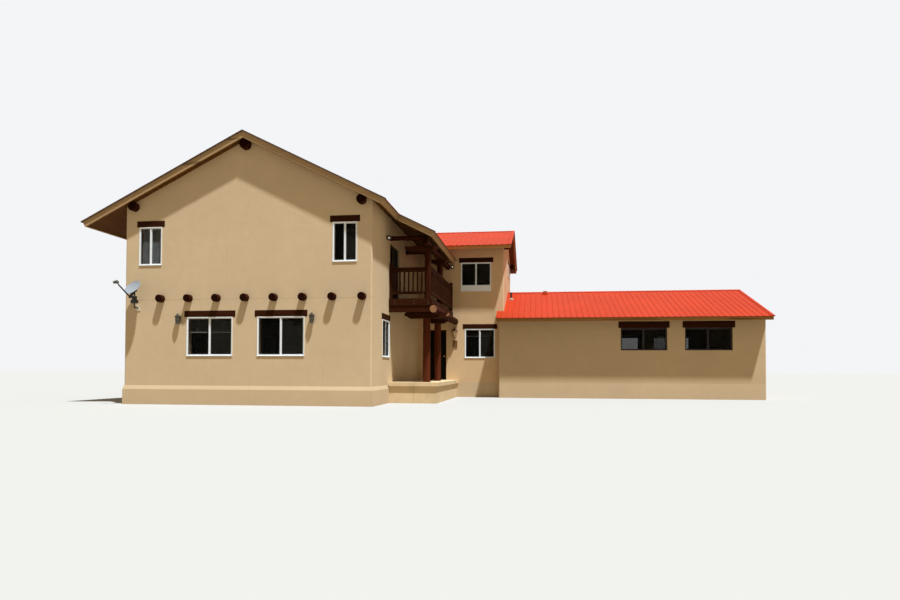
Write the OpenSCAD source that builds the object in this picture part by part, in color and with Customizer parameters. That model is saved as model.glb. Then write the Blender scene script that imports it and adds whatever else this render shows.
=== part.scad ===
// Adobe house of three stuccoed masses under red metal roofs, with log vigas and a corner balcony.
// X runs along the front, Y runs to the back, Z is up from the lowest ground that the walls meet.
// The origin is under the ridge of the main gable, at the face of its front wall. Millimetres.

/* [Levels] */
// Ground floor level above the lowest ground
floor_z = 700; // [650:10:900]
// Upper floor level
upper_z = 3500; // [3480:10:3600]
// Top of the foundation, where the stuccoed walls start
plinth_z = 600; // [560:10:640]
// Thickness of the adobe walls
wall_t = 300; // [250:10:320]
// Rounding of the stucco at the outside corners
corner_r = 50; // [20:5:60]

/* [Main block] */
// Width of the main gable
main_w = 8100; // [8000:50:8300]
// Length of the main block from front to back
main_l = 14440; // [14200:20:14800]
// Top of the main roof at its ridge
ridge_z = 8500; // [8400:10:8700]
// Rise of the main roof for each unit of run
main_pitch = 0.5; // [0.48:0.01:0.52]
// Overhang of the main roof past the gables
rake_over = 340; // [280:10:400]
// Overhang of the left eave
left_over = 1350; // [1000:50:1400]
// Overhang of the short right eave at the front
right_over = 485; // [400:5:500]
// Where the roof steps out over the balcony
step_y = 1716; // [1600:4:1800]
// Overhang of the roof over the balcony
balcony_over = 1650; // [1600:2:1700]

/* [Central block] */
// Face of the central block's front wall
central_y = 7500; // [7400:20:7600]
// Right side of the central block
central_x = 7640; // [7600:20:7700]
// Depth of the central block
central_l = 5800; // [5700:20:5900]
// Top of the central roof at its eaves
central_eave_z = 6175; // [6100:5:6200]
// Rise of the central roof for each unit of run
central_pitch = 0.36; // [0.35:0.005:0.38]
// Overhang of the central eaves
central_over = 660; // [600:10:700]
// Overhang of the central roof past its right gable
central_rake = 330; // [250:10:400]

/* [Wing] */
// Face of the wing's front wall
wing_y = 7090; // [7000:10:7200]
// Left end of the wing's front wall
wing_x0 = 7450; // [7400:10:7500]
// Right end of the wing
wing_x1 = 17670; // [17000:10:18000]
// Top of the wing roof at its eaves
wing_eave_z = 3190; // [3150:10:3250]
// Rise of the wing roof for each unit of run
wing_pitch = 0.35; // [0.34:0.01:0.36]
// Overhang of the wing eaves
wing_over = 610; // [550:10:650]
// Overhang of the wing roof past its right gable
wing_rake = 130; // [100:10:200]

/* [Roof build-up] */
// Depth of the main roof from its top to the foot of its fascia boards
fascia_h = 230; // [220:10:260]
// Depth of the main roof from its top to the underside of its boards
soffit_h = 200; // [180:10:210]
// Depth of the central and wing roofs to the foot of their fascia boards
small_fascia_h = 175; // [160:5:200]
// Depth of the central and wing roofs to the underside of their boards
small_soffit_h = 150; // [140:5:155]
// Thickness of the fascia boards
fascia_t = 40; // [30:2:50]
// Thickness of the metal edge that is folded down outside the fascia
drip_t = 6; // [4:1:10]
// Depth of the metal's folded edge
drip_h = 36; // [30:1:60]
// How far the metal reaches past the fascia boards
lip = 40; // [20:5:50]
// Height of the metal's ribs, ridge caps and edge trims above its flat sheet
rib_h = 19; // [15:1:22]
// Thickness of the flat sheet
sheet_t = 6; // [4:1:8]
// Width of the edge trims
trim_w = 100; // [80:10:120]
// Width of a ridge cap on each side of its ridge
cap_w = 150; // [120:10:180]
// Thickness of the boards under the roof deck
board_t = 20; // [16:1:25]

/* [Logs] */
// Diameter of the floor vigas
viga_d = 240; // [180:10:240]
// Number of vigas in the main front wall
viga_n = 8; // [6:1:8]
// Spacing of the vigas
viga_gap = 936; // [920:2:940]
// Length of viga that stands out of the wall
viga_out = 185; // [100:5:250]
// Diameter of the ridge log
ridge_log_d = 320; // [260:10:320]
// Diameter of the wall plate logs
plate_log_d = 280; // [240:10:300]
// Diameter of the central block's roof logs
central_log_d = 220; // [180:10:240]
// Diameter of the porch columns
column_d = 250; // [220:10:280]
// Diameter of the log beams
beam_d = 270; // [240:10:280]
// Diameter of the upper beam and the balcony's upper posts
upper_log_d = 220; // [200:10:240]
// Diameter of the small vigas over the balcony
small_viga_d = 150; // [130:10:150]

/* [Windows] */
// Width of the wide ground floor windows
wide_w = 1524; // [1300:4:1600]
// Width of the narrow upper windows
narrow_w = 770; // [700:10:900]
// Height of the main windows
window_h = 1220; // [1100:10:1240]
// Width of the central windows
central_window_w = 1250; // [1100:10:1300]
// Width of the wing windows
wing_window_w = 1770; // [1600:10:1800]
// Height of the wing windows
wing_window_h = 880; // [850:10:900]
// How far a lintel reaches past its window at each end
lintel_side = 90; // [60:5:120]

/* [Doors] */
// Width of the front door's leaf
door_w = 910; // [850:10:920]
// Height of the front door's leaf
door_h = 2000; // [1950:10:2020]
// Thickness of the front door's leaf
door_t = 45; // [40:1:50]
// Gap around the leaf
door_gap = 7; // [6:1:8]
// Width of the balcony doors
balcony_door_w = 1500; // [1400:10:1600]
// Height of the balcony doors
balcony_door_h = 1920; // [1900:10:2000]

/* [Balcony] */
// Front edge of the balcony
balcony_y = 2200; // [2150:10:2250]
// Outer edge of the balcony
balcony_x = 5535; // [5500:5:5600]
// Top of the balcony floor
balcony_z = 3500; // [3480:10:3520]
// Top of the handrail above the balcony floor
rail_h = 1060; // [950:10:1100]
// Spacing of the balusters
baluster_gap = 150; // [130:5:200]

/* [Hidden] */
$fn = 48;

// Rim of a cut that passes right through a face
over = 10;
main_x = main_w / 2;
inner_x = main_x - wall_t;
central_rear_y = central_y + central_l;
central_ridge_y = central_y + central_l / 2;
central_ridge_z = central_eave_z + central_pitch * (central_over + central_l / 2);
wing_rear_y = main_l;
wing_mid_y = (wing_y + wing_rear_y) / 2;
wing_half = wing_mid_y - wing_y + wing_over;
wing_ridge_z = wing_eave_z + wing_pitch * wing_half;
// The wing roof's left fascia hangs clear of the wall
wing_roof_x0 = wing_x0 - lip - fascia_t - 5;
rear_eave_x = (ridge_z - central_eave_z) / main_pitch;
metal_t = rib_h + sheet_t;

// Passages inside, from block to block
passage_y0 = 9000;
passage_y1 = 10800;
passage_top = 2800;
upper_passage_top = 5600;
upper_floor_t = 40;
upper_floor_z = upper_z - upper_floor_t;
slab_t = 150;
slab_ledge = 100;
plinth_out = 35;
plinth_slope_z = 480;

// Vigas lie in half-round seats where the lower and upper front walls meet
viga_z = upper_floor_z - viga_d / 2;
viga_x0 = -2795;
split_z = viga_z;
ridge_log_z = ridge_z - soffit_h - ridge_log_d / 2 * sqrt(1 + main_pitch * main_pitch);
plate_log_x = 3730;
plate_log_z = main_top(plate_log_x) - soffit_h - plate_log_d / 2 * sqrt(1 + main_pitch * main_pitch);

central_plate_y = central_y + 150;

// Front door
jamb_t = 38;
door_x0 = 4295;
leaf_x0 = door_x0 + door_gap;
frame_x0 = door_x0 - jamb_t;
frame_x1 = leaf_x0 + door_w + door_gap + jamb_t;
sill_t = 20;
leaf_z0 = floor_z + sill_t + door_gap;
head_z = leaf_z0 + door_h + door_gap;
doorway_top = head_z + jamb_t;
frame_y0 = central_y + 90;
frame_depth = 120;
leaf_y1 = frame_y0 + frame_depth;
stop_t = 15;
hinge_x = door_x0 + door_gap / 2;
knuckle_r = 8;
hinge_y = leaf_y1 + knuckle_r + 1;
pin_r = 5;
pin_play = 0.08;
hinge_len = 102;
sixth = hinge_len / 6;
hinge_leaf = 36;
hinge_plate_t = 3;
hinge_zs = [leaf_z0 + 230, leaf_z0 + door_h / 2, leaf_z0 + door_h - 200];

// Window build-up
frame_face = 20;
frame_d = 80;
sash_face = 32;
sash_d = 28;
// How far the sashes stand behind the frame's face
sash_in = 12;
// How far the meeting stiles of two sashes lap
meet = 2;
glass_t = 12;
lintel_in = 150;
lintel_out = 20;
lintel_h = 200;
wing_lintel_h = 260;
// Light frames stand a little proud of the stucco, dark ones are set back
reveal = -12;
wing_reveal = 110;
upper_sill_z = 4410;
lower_sill_z = 1530;
central_lower_z = 1610;
central_upper_z = 4360;
central_window_h = 1195;
// Height of the blank board at the foot of the upper central window
central_filler = 210;
wing_sill_z = 1905;

// Each window: wall, centre along it, sill level, width, height, and depth of a filler board at its foot
WIDE_X = 1168;
NARROW_X = 3192;
WINDOWS = [
    for (s = [-1, 1]) ["main_front", s * WIDE_X, lower_sill_z, wide_w, window_h],
    for (s = [-1, 1]) ["main_front", s * NARROW_X, upper_sill_z, narrow_w, window_h],
    for (s = [-1, 1]) ["main_rear", s * WIDE_X, lower_sill_z, wide_w, window_h],
    for (s = [-1, 1]) ["main_rear", s * NARROW_X, upper_sill_z, narrow_w, window_h],
    for (y = [3600, 10800]) ["main_left", y, lower_sill_z, wide_w, window_h],
    for (y = [3600, 10800]) ["main_left", y, upper_sill_z, narrow_w, window_h],
    ["main_right", 1830, lower_sill_z, 1000, window_h],
    ["central_front", 6650, central_lower_z, central_window_w, central_window_h],
    ["central_front", 6485, central_upper_z, central_window_w, central_window_h, central_filler],
    ["central_right", 11700, 5480, 1200, 560],
    ["central_rear", 5845, central_lower_z, central_window_w, central_window_h],
    ["central_rear", 5845, central_upper_z, central_window_w, central_window_h]
];
WING_WINDOWS = [
    for (x = [13140, 15575]) ["wing_front", x, wing_sill_z, wing_window_w, wing_window_h],
    for (x = [13140, 15575]) ["wing_rear", x, wing_sill_z, wing_window_w, wing_window_h]
];
balcony_door_y = 3120;
balcony_door_reveal = 60;

// Balcony and porch
column_x = 5285;
column_ys = [2600, 5000];
corbel_lens = [1500, 840];
corbel_h = 180;
corbel_w = 240;
corbel_top = 3040;
beam_x = 5622;
beam_z = 3118;
beam_y0 = 1900;
upper_post_x = 5365;
upper_post_ys = [2330, 5000];
upper_beam_x = 5320;
upper_beam_y0 = 1950;
// Each upper corbel: where along X its middle is, and its length
upper_corbels = [[5150, 1140], [5365, 700]];
upper_corbel_h = 195;
upper_corbel_w = 200;
upper_corbel_top = 5265;
upper_beam_z = upper_corbel_top + upper_log_d / 2;
small_viga_z = upper_corbel_top + upper_log_d + small_viga_d / 2;
deck_t = 40;
joist_h = balcony_z - deck_t - beam_z - beam_d / 2;
porch_x1 = 5760;
porch_y0 = 2100;
slab_top_t = 130;

function main_top(x) = ridge_z - main_pitch * abs(x);
function central_top(y) = central_ridge_z - central_pitch * abs(y - central_ridge_y);
function wing_top(y) = wing_ridge_z - wing_pitch * abs(y - wing_mid_y);

// Basic blocks and prisms

module block(lo, hi) {
    translate(lo) cube(hi - lo);
}

// Prism along Y of an outline drawn in X and Z
module along_y(y0, y1) {
    translate([0, y1, 0]) rotate([90, 0, 0]) linear_extrude(y1 - y0) children();
}

// Prism along X of an outline drawn in Y and Z
module along_x(x0, x1) {
    translate([x0, 0, 0]) rotate([90, 0, 90]) linear_extrude(x1 - x0) children();
}

// Peeled log with chamfered ends, standing on the origin
module peeled_log(d, len) {
    r = d / 2;
    c = d / 18;
    rotate_extrude() polygon([[0, 0], [r - c, 0], [r, c], [r, len - c], [r - c, len], [0, len]]);
}

module log_y(x, z, d, y0, y1) {
    translate([x, y0, z]) rotate([-90, 0, 0]) peeled_log(d, y1 - y0);
}

module log_x(y, z, d, x0, x1) {
    translate([x0, y, z]) rotate([0, 90, 0]) peeled_log(d, x1 - x0);
}

// Main roof: a sloping layer between two depths below its top surface, with eaves cut square to the slope.
// Its right eave lies further out over the balcony, and again over the rear of the block.

module main_layer(depth0, depth1, inset) {
    step = step_y + inset;
    main_strip(depth0, depth1, inset, -rake_over + inset, step, main_x + right_over);
    main_strip(depth0, depth1, inset, step, central_y, main_x + balcony_over);
    main_strip(depth0, depth1, inset, central_y, main_l + rake_over - inset, rear_eave_x);
}

module main_strip(depth0, depth1, inset, y0, y1, eave_x) {
    cut = main_pitch / (1 + main_pitch * main_pitch);
    left = main_x + left_over - inset;
    right = eave_x - inset;
    along_y(y0, y1) polygon([
        roof_point(cut * depth0 - left, depth0), [0, ridge_z - depth0],
        roof_point(right - cut * depth0, depth0), roof_point(right - cut * depth1, depth1),
        [0, ridge_z - depth1], roof_point(cut * depth1 - left, depth1)
    ]);
}

function roof_point(x, depth) = [x, main_top(x) - depth];

// Everything under a depth below the top of the main roof, as far as a reach on its right side
module below_main_top(depth, y0, y1, reach = main_w) {
    along_y(y0, y1)
        polygon([
            [-main_w, 0], [reach, 0], roof_point(reach, depth),
            [0, ridge_z - depth], roof_point(-main_w, depth)
        ]);
}

module under_main_roof() {
    below_main_top(soffit_h, -1000, main_l + 1000);
}

// Flat sheet, its folded edge, a cap on the ridge, and trims along the rakes and the step
module main_roof_metal() {
    color("tomato") union() {
        main_layer(rib_h, metal_t, 0);
        difference() {
            main_layer(metal_t - 1, drip_h, 0);
            main_layer(metal_t - over, drip_h + over, drip_t);
        }
        intersection() {
            main_layer(0, rib_h + 1, 0);
            union() {
                block([-cap_w, -1000, 0], [cap_w, main_l + 1000, ridge_z]);
                for (y = [-rake_over, main_l + rake_over - trim_w])
                    block([-main_w, y, 0], [main_w, y + trim_w, ridge_z]);
                block([main_x + right_over - trim_w, step_y, 0], [main_w, step_y + trim_w, ridge_z]);
            }
        }
    }
}

// The fascia boards stop where the main roof runs on inside the central block
module main_fascia() {
    color("burlywood") difference() {
        main_layer(metal_t, fascia_h, lip);
        main_layer(metal_t - over, fascia_h + over, lip + fascia_t);
        block([main_x, central_y, 0], [rear_eave_x, central_rear_y, ridge_z]);
    }
}

// Central and wing roofs: ridges along X

module ridge_x_layer(ridge_y, ridge, pitch, half, depth0, depth1, x0, x1) {
    low = ridge - pitch * half;
    along_x(x0, x1)
        polygon([
            [ridge_y - half, low - depth0], [ridge_y, ridge - depth0], [ridge_y + half, low - depth0],
            [ridge_y + half, low - depth1], [ridge_y, ridge - depth1], [ridge_y - half, low - depth1]
        ]);
}

module central_layer(depth0, depth1, inset) {
    difference() {
        central_core(depth0, depth1, inset);
        below_main_top(rib_h, 0, central_rear_y);
        below_main_top(rib_h, 0, main_l, rear_eave_x);
    }
}

// The central roof's layer before it is cut on the surface of the main roof
module central_core(depth0, depth1, inset) {
    ridge_x_layer(central_ridge_y, central_ridge_z, central_pitch, central_l / 2 + central_over - inset,
        depth0, depth1, main_x / 4, central_x + central_rake - inset);
}

module under_central_roof() {
    half = central_l / 2 + central_over;
    z = central_eave_z - small_soffit_h;
    along_x(main_x - 1000, central_x + 1000)
        polygon([
            [central_ridge_y - half, 0], [central_ridge_y + half, 0], [central_ridge_y + half, z],
            [central_ridge_y, central_ridge_z - small_soffit_h], [central_ridge_y - half, z]
        ]);
}

module central_roof_metal() {
    x1 = central_x + central_rake;
    color("tomato") union() {
        central_layer(rib_h, metal_t, 0);
        difference() {
            central_layer(metal_t - 1, drip_h, 0);
            central_core(metal_t - over, drip_h + over, drip_t);
        }
        intersection() {
            central_layer(0, rib_h + 1, 0);
            ridge_x_trims(central_ridge_y, x1 - trim_w, x1);
        }
    }
}

// Where a ridge along X has its cap, and one rake its trim
module ridge_x_trims(ridge_y, x0, x1) {
    block([0, ridge_y - cap_w, 0], [x1, ridge_y + cap_w, ridge_z]);
    block([x0, 0, 0], [x1, main_l + 1000, ridge_z]);
}

module central_fascia() {
    color("burlywood") difference() {
        central_layer(metal_t, small_fascia_h, lip);
        central_core(metal_t - over, small_fascia_h + over, lip + fascia_t);
    }
}

module wing_layer(depth0, depth1, inset) {
    difference() {
        wing_core(depth0, depth1, inset);
        block([wing_roof_x0 - over, central_y, 0], [central_x, central_rear_y, ridge_z]);
    }
}

// The wing roof's layer before it is cut around the central block
module wing_core(depth0, depth1, inset) {
    ridge_x_layer(wing_mid_y, wing_ridge_z, wing_pitch, wing_half - inset, depth0, depth1,
        wing_roof_x0 + inset, wing_x1 + wing_rake - inset);
}

module under_wing_roof() {
    z = wing_eave_z - small_soffit_h;
    along_x(wing_x0 - 1000, wing_x1 + 1000)
        polygon([
            [wing_mid_y - wing_half, 0], [wing_mid_y + wing_half, 0], [wing_mid_y + wing_half, z],
            [wing_mid_y, wing_ridge_z - small_soffit_h], [wing_mid_y - wing_half, z]
        ]);
}

module wing_roof_metal() {
    x1 = wing_x1 + wing_rake;
    color("tomato") union() {
        wing_layer(rib_h, metal_t, 0);
        difference() {
            wing_layer(metal_t - 1, drip_h, 0);
            wing_core(metal_t - over, drip_h + over, drip_t);
        }
        intersection() {
            wing_layer(0, rib_h + 1, 0);
            union() {
                ridge_x_trims(wing_mid_y, x1 - trim_w, x1);
                block([wing_roof_x0, 0, 0], [wing_roof_x0 + trim_w, main_l + 1000, ridge_z]);
            }
        }
    }
}

module wing_fascia() {
    color("burlywood") difference() {
        wing_layer(metal_t, small_fascia_h, lip);
        wing_core(metal_t - over, small_fascia_h + over, lip + fascia_t);
    }
}

// Decks of the three roofs, and the boards under them

module roof_decks() {
    inset = lip + fascia_t;
    color("tan") {
        main_layer(metal_t, soffit_h - board_t, inset);
        central_layer(metal_t, small_soffit_h - board_t, inset);
        wing_layer(metal_t, small_soffit_h - board_t, inset);
    }
}

module roof_boards() {
    inset = lip + fascia_t;
    color("saddlebrown") {
        main_layer(soffit_h - board_t, soffit_h, inset);
        central_layer(small_soffit_h - board_t, small_soffit_h, inset);
        wing_layer(small_soffit_h - board_t, small_soffit_h, inset);
    }
}

// Places on the walls: local X along the wall, local -Y out of it, local Z up

module on_wall(wall, along, z) {
    if (wall == "main_front") translate([along, 0, z]) children();
    if (wall == "main_rear") translate([along, main_l, z]) rotate([0, 0, 180]) children();
    if (wall == "main_left") translate([-main_x, along, z]) rotate([0, 0, -90]) children();
    if (wall == "main_right") translate([main_x, along, z]) rotate([0, 0, 90]) children();
    if (wall == "central_front") translate([along, central_y, z]) children();
    if (wall == "central_right") translate([central_x, along, z]) rotate([0, 0, 90]) children();
    if (wall == "central_rear") translate([along, central_rear_y, z]) rotate([0, 0, 180]) children();
    if (wall == "wing_front") translate([along, wing_y, z]) children();
    if (wall == "wing_rear") translate([along, wing_rear_y, z]) rotate([0, 0, 180]) children();
}

// Openings for the windows of one wall, with the pockets of their lintels
module window_cuts(wall) {
    for (w = concat(WINDOWS, WING_WINDOWS))
        if (w[0] == wall) on_wall(wall, w[1], w[2]) {
            block([-w[3] / 2, -over, 0], [w[3] / 2, wall_t + over, w[4]]);
            lintel_block(w, over);
        }
}

module lintel_block(w, out) {
    h = w[0] == "wing_front" || w[0] == "wing_rear" ? wing_lintel_h : lintel_h;
    block([-w[3] / 2 - lintel_side, -out, w[4]], [w[3] / 2 + lintel_side, lintel_in, w[4] + h]);
}

module lintels() {
    color("#46251a") for (w = concat(WINDOWS, WING_WINDOWS))
        on_wall(w[0], w[1], w[2]) lintel_block(w, lintel_out);
}

// Sliding window: outer frame, a fixed sash on one side and a sliding sash behind it
module window_frame(w, h, inset, filler = 0) {
    foot = frame_face + filler;
    head = h - frame_face;
    side = w / 2 - frame_face;
    front = inset + sash_in;
    difference() {
        block([-w / 2, inset, 0], [w / 2, inset + frame_d, h]);
        block([-side, inset - over, foot], [side, inset + frame_d + over, head]);
        if (filler > 0) block([-side, inset - over, frame_face / 2], [side, front, foot]);
    }
    sash(-side, meet, foot, head, front);
    sash(-meet, side, foot, head, front + sash_d);
}

module sash(x0, x1, z0, z1, y) {
    difference() {
        block([x0, y, z0], [x1, y + sash_d, z1]);
        block([x0 + sash_face, y - over, z0 + sash_face],
            [x1 - sash_face, y + sash_d + over, z1 - sash_face]);
    }
}

module panes(w, h, inset, filler = 0) {
    edge = frame_face + sash_face;
    glass_y = inset + sash_in + (sash_d - glass_t) / 2;
    foot = edge + filler;
    block([-w / 2 + edge, glass_y, foot], [meet - sash_face, glass_y + glass_t, h - edge]);
    block([sash_face - meet, glass_y + sash_d, foot], [w / 2 - edge, glass_y + sash_d + glass_t, h - edge]);
}

// Depth of the filler board under a window's sashes, where it has one
function filler_of(w) = len(w) > 5 ? w[5] : 0;

module house_window_frames() {
    color("white") for (w = WINDOWS)
        on_wall(w[0], w[1], w[2]) window_frame(w[3], w[4], reveal, filler_of(w));
}

module wing_window_frames() {
    color("#3a2e28") for (w = WING_WINDOWS)
        on_wall(w[0], w[1], w[2]) window_frame(w[3], w[4], wing_reveal);
}

module window_glass() {
    color("slategray") {
        for (w = WINDOWS) on_wall(w[0], w[1], w[2]) panes(w[3], w[4], reveal, filler_of(w));
        for (w = WING_WINDOWS) on_wall(w[0], w[1], w[2]) panes(w[3], w[4], wing_reveal);
        on_wall("main_right", balcony_door_y, upper_z)
            panes(balcony_door_w, balcony_door_h, balcony_door_reveal);
    }
}

// Foundation: stem walls with a ledge for the floor, and a weathered slope around the main block

module plinth_mass(lo, hi) {
    intersection() {
        along_y(lo[1] - plinth_out, hi[1] + plinth_out) stem_outline(lo[0], hi[0]);
        along_x(lo[0] - plinth_out, hi[0] + plinth_out) stem_outline(lo[1], hi[1]);
    }
}

module stem_outline(a, b) {
    polygon([
        [a - plinth_out, 0], [b + plinth_out, 0], [b + plinth_out, plinth_slope_z],
        [b, plinth_z], [a, plinth_z], [a - plinth_out, plinth_slope_z]
    ]);
}

// Space inside a stem wall, with a ledge around it for the floor slab
module room_void(lo, hi) {
    ledge = [slab_ledge, slab_ledge];
    block(concat(lo + ledge, [-over]), concat(hi - ledge, [plinth_z + over]));
    block(concat(lo, [floor_z - slab_t]), concat(hi, [plinth_z + over]));
}

module foundation_walls() {
    color("#c0a27a") difference() {
        union() {
            plinth_mass([-main_x, 0], [main_x, main_l]);
            block([main_x, central_y, 0], [central_x, central_rear_y, plinth_z]);
            block([wing_x0, wing_y, 0], [wing_x1, wing_rear_y, plinth_z]);
        }
        corner_cuts(concat(WING_FRONT_CORNERS, WING_REAR_CORNERS));
        room_void([-inner_x, wall_t], [inner_x, main_l - wall_t]);
        room_void([main_x, central_y + wall_t], [central_x - wall_t, central_rear_y - wall_t]);
        room_void([central_x, wing_y + wall_t], [wing_x1 - wall_t, wing_rear_y - wall_t]);
        thresholds(plinth_z + over);
    }
}

// Where the floor slab runs through a doorway or a passage
module thresholds(top) {
    bottom = floor_z - slab_t;
    block([frame_x0, central_y, bottom], [frame_x1, central_y + wall_t, top]);
    block([inner_x, passage_y0, bottom], [main_x, passage_y1, top]);
    block([central_x - wall_t, passage_y0, bottom], [central_x, passage_y1, top]);
}

module ground_floor() {
    bottom = floor_z - slab_t;
    color("#b8a58c") union() {
        block([-inner_x, wall_t, bottom], [inner_x, main_l - wall_t, floor_z]);
        block([main_x, central_y + wall_t, bottom], [central_x - wall_t, central_rear_y - wall_t, floor_z]);
        block([central_x, wing_y + wall_t, bottom], [wing_x1 - wall_t, wing_rear_y - wall_t, floor_z]);
        thresholds(floor_z);
    }
}

module upper_floor() {
    color("#8a6038") union() {
        block([-inner_x, wall_t, upper_floor_z], [inner_x, main_l - wall_t, upper_z]);
        block([inner_x, passage_y0, upper_floor_z], [main_x, passage_y1, upper_z]);
        block([main_x, central_y + wall_t, split_z], [central_x - wall_t, central_rear_y - wall_t, upper_z]);
    }
}

// Outside corners of the walls: where each is, and the directions in X and Y in which it points
MAIN_FRONT_CORNERS = [[-main_x, 0, -1, -1], [main_x, 0, 1, -1]];
MAIN_REAR_CORNERS = [[-main_x, main_l, -1, 1], [main_x, main_l, 1, 1]];
WING_FRONT_CORNERS = [[wing_x0, wing_y, -1, -1], [wing_x1, wing_y, 1, -1]];
WING_REAR_CORNERS = [[wing_x0, wing_rear_y, -1, 1], [wing_x1, wing_rear_y, 1, 1]];

// What rounding takes off the corners
module corner_cuts(corners) {
    for (c = corners) {
        axis = [c[0] - c[2] * corner_r, c[1] - c[3] * corner_r];
        rim = [c[0] + c[2] * over, c[1] + c[3] * over];
        difference() {
            block([min(axis[0], rim[0]), min(axis[1], rim[1]), -over],
                [max(axis[0], rim[0]), max(axis[1], rim[1]), ridge_z]);
            translate([axis[0], axis[1], -2 * over]) cylinder(r = corner_r, h = ridge_z + 3 * over);
        }
    }
}

// Main block walls

module log_seats() {
    for (i = [0 : viga_n - 1]) log_y(viga_x0 + i * viga_gap, viga_z, viga_d, -1000, main_l + 1000);
    for (s = [-1, 1]) log_y(s * plate_log_x, plate_log_z, plate_log_d, -1000, main_l + 1000);
    log_y(0, ridge_log_z, ridge_log_d, -1000, main_l + 1000);
}

// The side walls stop beside their plate logs
module plate_slots() {
    r = plate_log_d / 2;
    for (s = [-1, 1])
        translate([s * plate_log_x - r, 0, plate_log_z]) cube([plate_log_d, main_l, ridge_z - plate_log_z]);
}

// Logs of the central roof: two plate logs in the wall heads and a ridge log
module central_logs(out) {
    lift = small_soffit_h + central_log_d / 2 * sqrt(1 + central_pitch * central_pitch);
    x1 = central_x + out;
    for (y = [central_plate_y, central_rear_y - central_plate_y + central_y])
        log_x(y, central_top(y) - lift, central_log_d, rear_eave_x, x1);
    log_x(central_ridge_y, central_ridge_z - lift, central_log_d, main_x, x1);
}

// The central front and rear walls stop beside their plate logs
module central_plate_slots() {
    r = central_log_d / 2;
    for (y = [central_plate_y, central_rear_y - central_plate_y + central_y])
        block([rear_eave_x, y - r, central_top(y) - small_soffit_h - r], [central_x, y + r, ridge_z]);
}

module main_front_wall_lower() {
    color("wheat") difference() {
        block([-main_x, 0, plinth_z], [main_x, wall_t, split_z]);
        corner_cuts(MAIN_FRONT_CORNERS);
        window_cuts("main_front");
        log_seats();
    }
}

module main_front_wall_upper() {
    color("wheat") difference() {
        intersection() {
            block([-main_x, 0, split_z], [main_x, wall_t, ridge_z]);
            under_main_roof();
        }
        corner_cuts(MAIN_FRONT_CORNERS);
        window_cuts("main_front");
        log_seats();
    }
}

module main_rear_wall() {
    color("wheat") difference() {
        intersection() {
            block([-main_x, main_l - wall_t, plinth_z], [main_x, main_l, ridge_z]);
            under_main_roof();
        }
        corner_cuts(MAIN_REAR_CORNERS);
        window_cuts("main_rear");
        log_seats();
    }
}

module main_left_wall() {
    color("wheat") difference() {
        intersection() {
            block([-main_x, wall_t, plinth_z], [-inner_x, main_l - wall_t, ridge_z]);
            under_main_roof();
        }
        window_cuts("main_left");
        log_seats();
        plate_slots();
    }
}

// One length of the right wall, up to the roof boards
module right_wall_length(y0, y1) {
    difference() {
        intersection() {
            block([inner_x, y0, plinth_z], [main_x, y1, ridge_z]);
            under_main_roof();
        }
        log_seats();
        plate_slots();
    }
}

module main_right_wall() {
    color("wheat") difference() {
        right_wall_length(wall_t, central_y);
        window_cuts("main_right");
        on_wall("main_right", balcony_door_y, upper_z)
            block([-balcony_door_w / 2, -over, 0], [balcony_door_w / 2, wall_t + over, balcony_door_h]);
    }
}

// The length beside the central block, with a passage on each floor
module main_inner_wall() {
    color("wheat") difference() {
        right_wall_length(central_y, main_l - wall_t);
        block([inner_x - over, passage_y0, 0], [main_x + over, passage_y1, passage_top]);
        block([inner_x - over, passage_y0, upper_floor_z], [main_x + over, passage_y1, upper_passage_top]);
    }
}

// Central block walls

// The storey beside the doorway: a short pier on its left, and the wall on its right
module central_front_wall_lower() {
    color("wheat") {
        block([main_x, central_y, plinth_z], [frame_x0, central_y + wall_t, split_z]);
        difference() {
            block([frame_x1, central_y, plinth_z], [central_x, central_y + wall_t, split_z]);
            window_cuts("central_front");
        }
    }
}

module central_front_wall_upper() {
    color("wheat") difference() {
        intersection() {
            union() {
                block([main_x, central_y, split_z], [central_x, central_y + wall_t, ridge_z]);
                block([frame_x0, central_y, doorway_top], [frame_x1, central_y + wall_t, split_z]);
            }
            under_central_roof();
        }
        corner_cuts([[central_x, central_y, 1, -1]]);
        window_cuts("central_front");
        roof_over_wall();
        central_logs(over);
        central_plate_slots();
    }
}

// The part of the main roof that passes over the central block's walls
module roof_over_wall() {
    x0 = main_x - over;
    along_y(0, main_l)
        polygon([
            roof_point(x0, soffit_h), roof_point(rear_eave_x, soffit_h),
            [rear_eave_x, ridge_z], [x0, ridge_z]
        ]);
}

module central_right_wall() {
    color("wheat") difference() {
        intersection() {
            block([central_x - wall_t, central_y + wall_t, plinth_z],
                [central_x, central_rear_y - wall_t, ridge_z]);
            under_central_roof();
        }
        window_cuts("central_right");
        central_logs(over);
        block([central_x - wall_t - over, passage_y0, 0], [central_x + over, passage_y1, passage_top]);
    }
}

module central_rear_wall() {
    color("wheat") difference() {
        intersection() {
            block([main_x, central_rear_y - wall_t, plinth_z], [central_x, central_rear_y, ridge_z]);
            under_central_roof();
        }
        corner_cuts([[central_x, central_rear_y, 1, 1]]);
        window_cuts("central_rear");
        roof_over_wall();
        central_logs(over);
        central_plate_slots();
    }
}

// Wing walls

module wing_front_wall() {
    color("wheat") difference() {
        intersection() {
            union() {
                block([wing_x0, wing_y, plinth_z], [wing_x1, wing_y + wall_t, ridge_z]);
                block([wing_x0, wing_y, plinth_z], [central_x, central_y, ridge_z]);
            }
            under_wing_roof();
        }
        corner_cuts(WING_FRONT_CORNERS);
        window_cuts("wing_front");
    }
}

module wing_right_wall() {
    color("wheat") intersection() {
        block([wing_x1 - wall_t, wing_y + wall_t, plinth_z], [wing_x1, wing_rear_y - wall_t, ridge_z]);
        under_wing_roof();
    }
}

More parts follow.
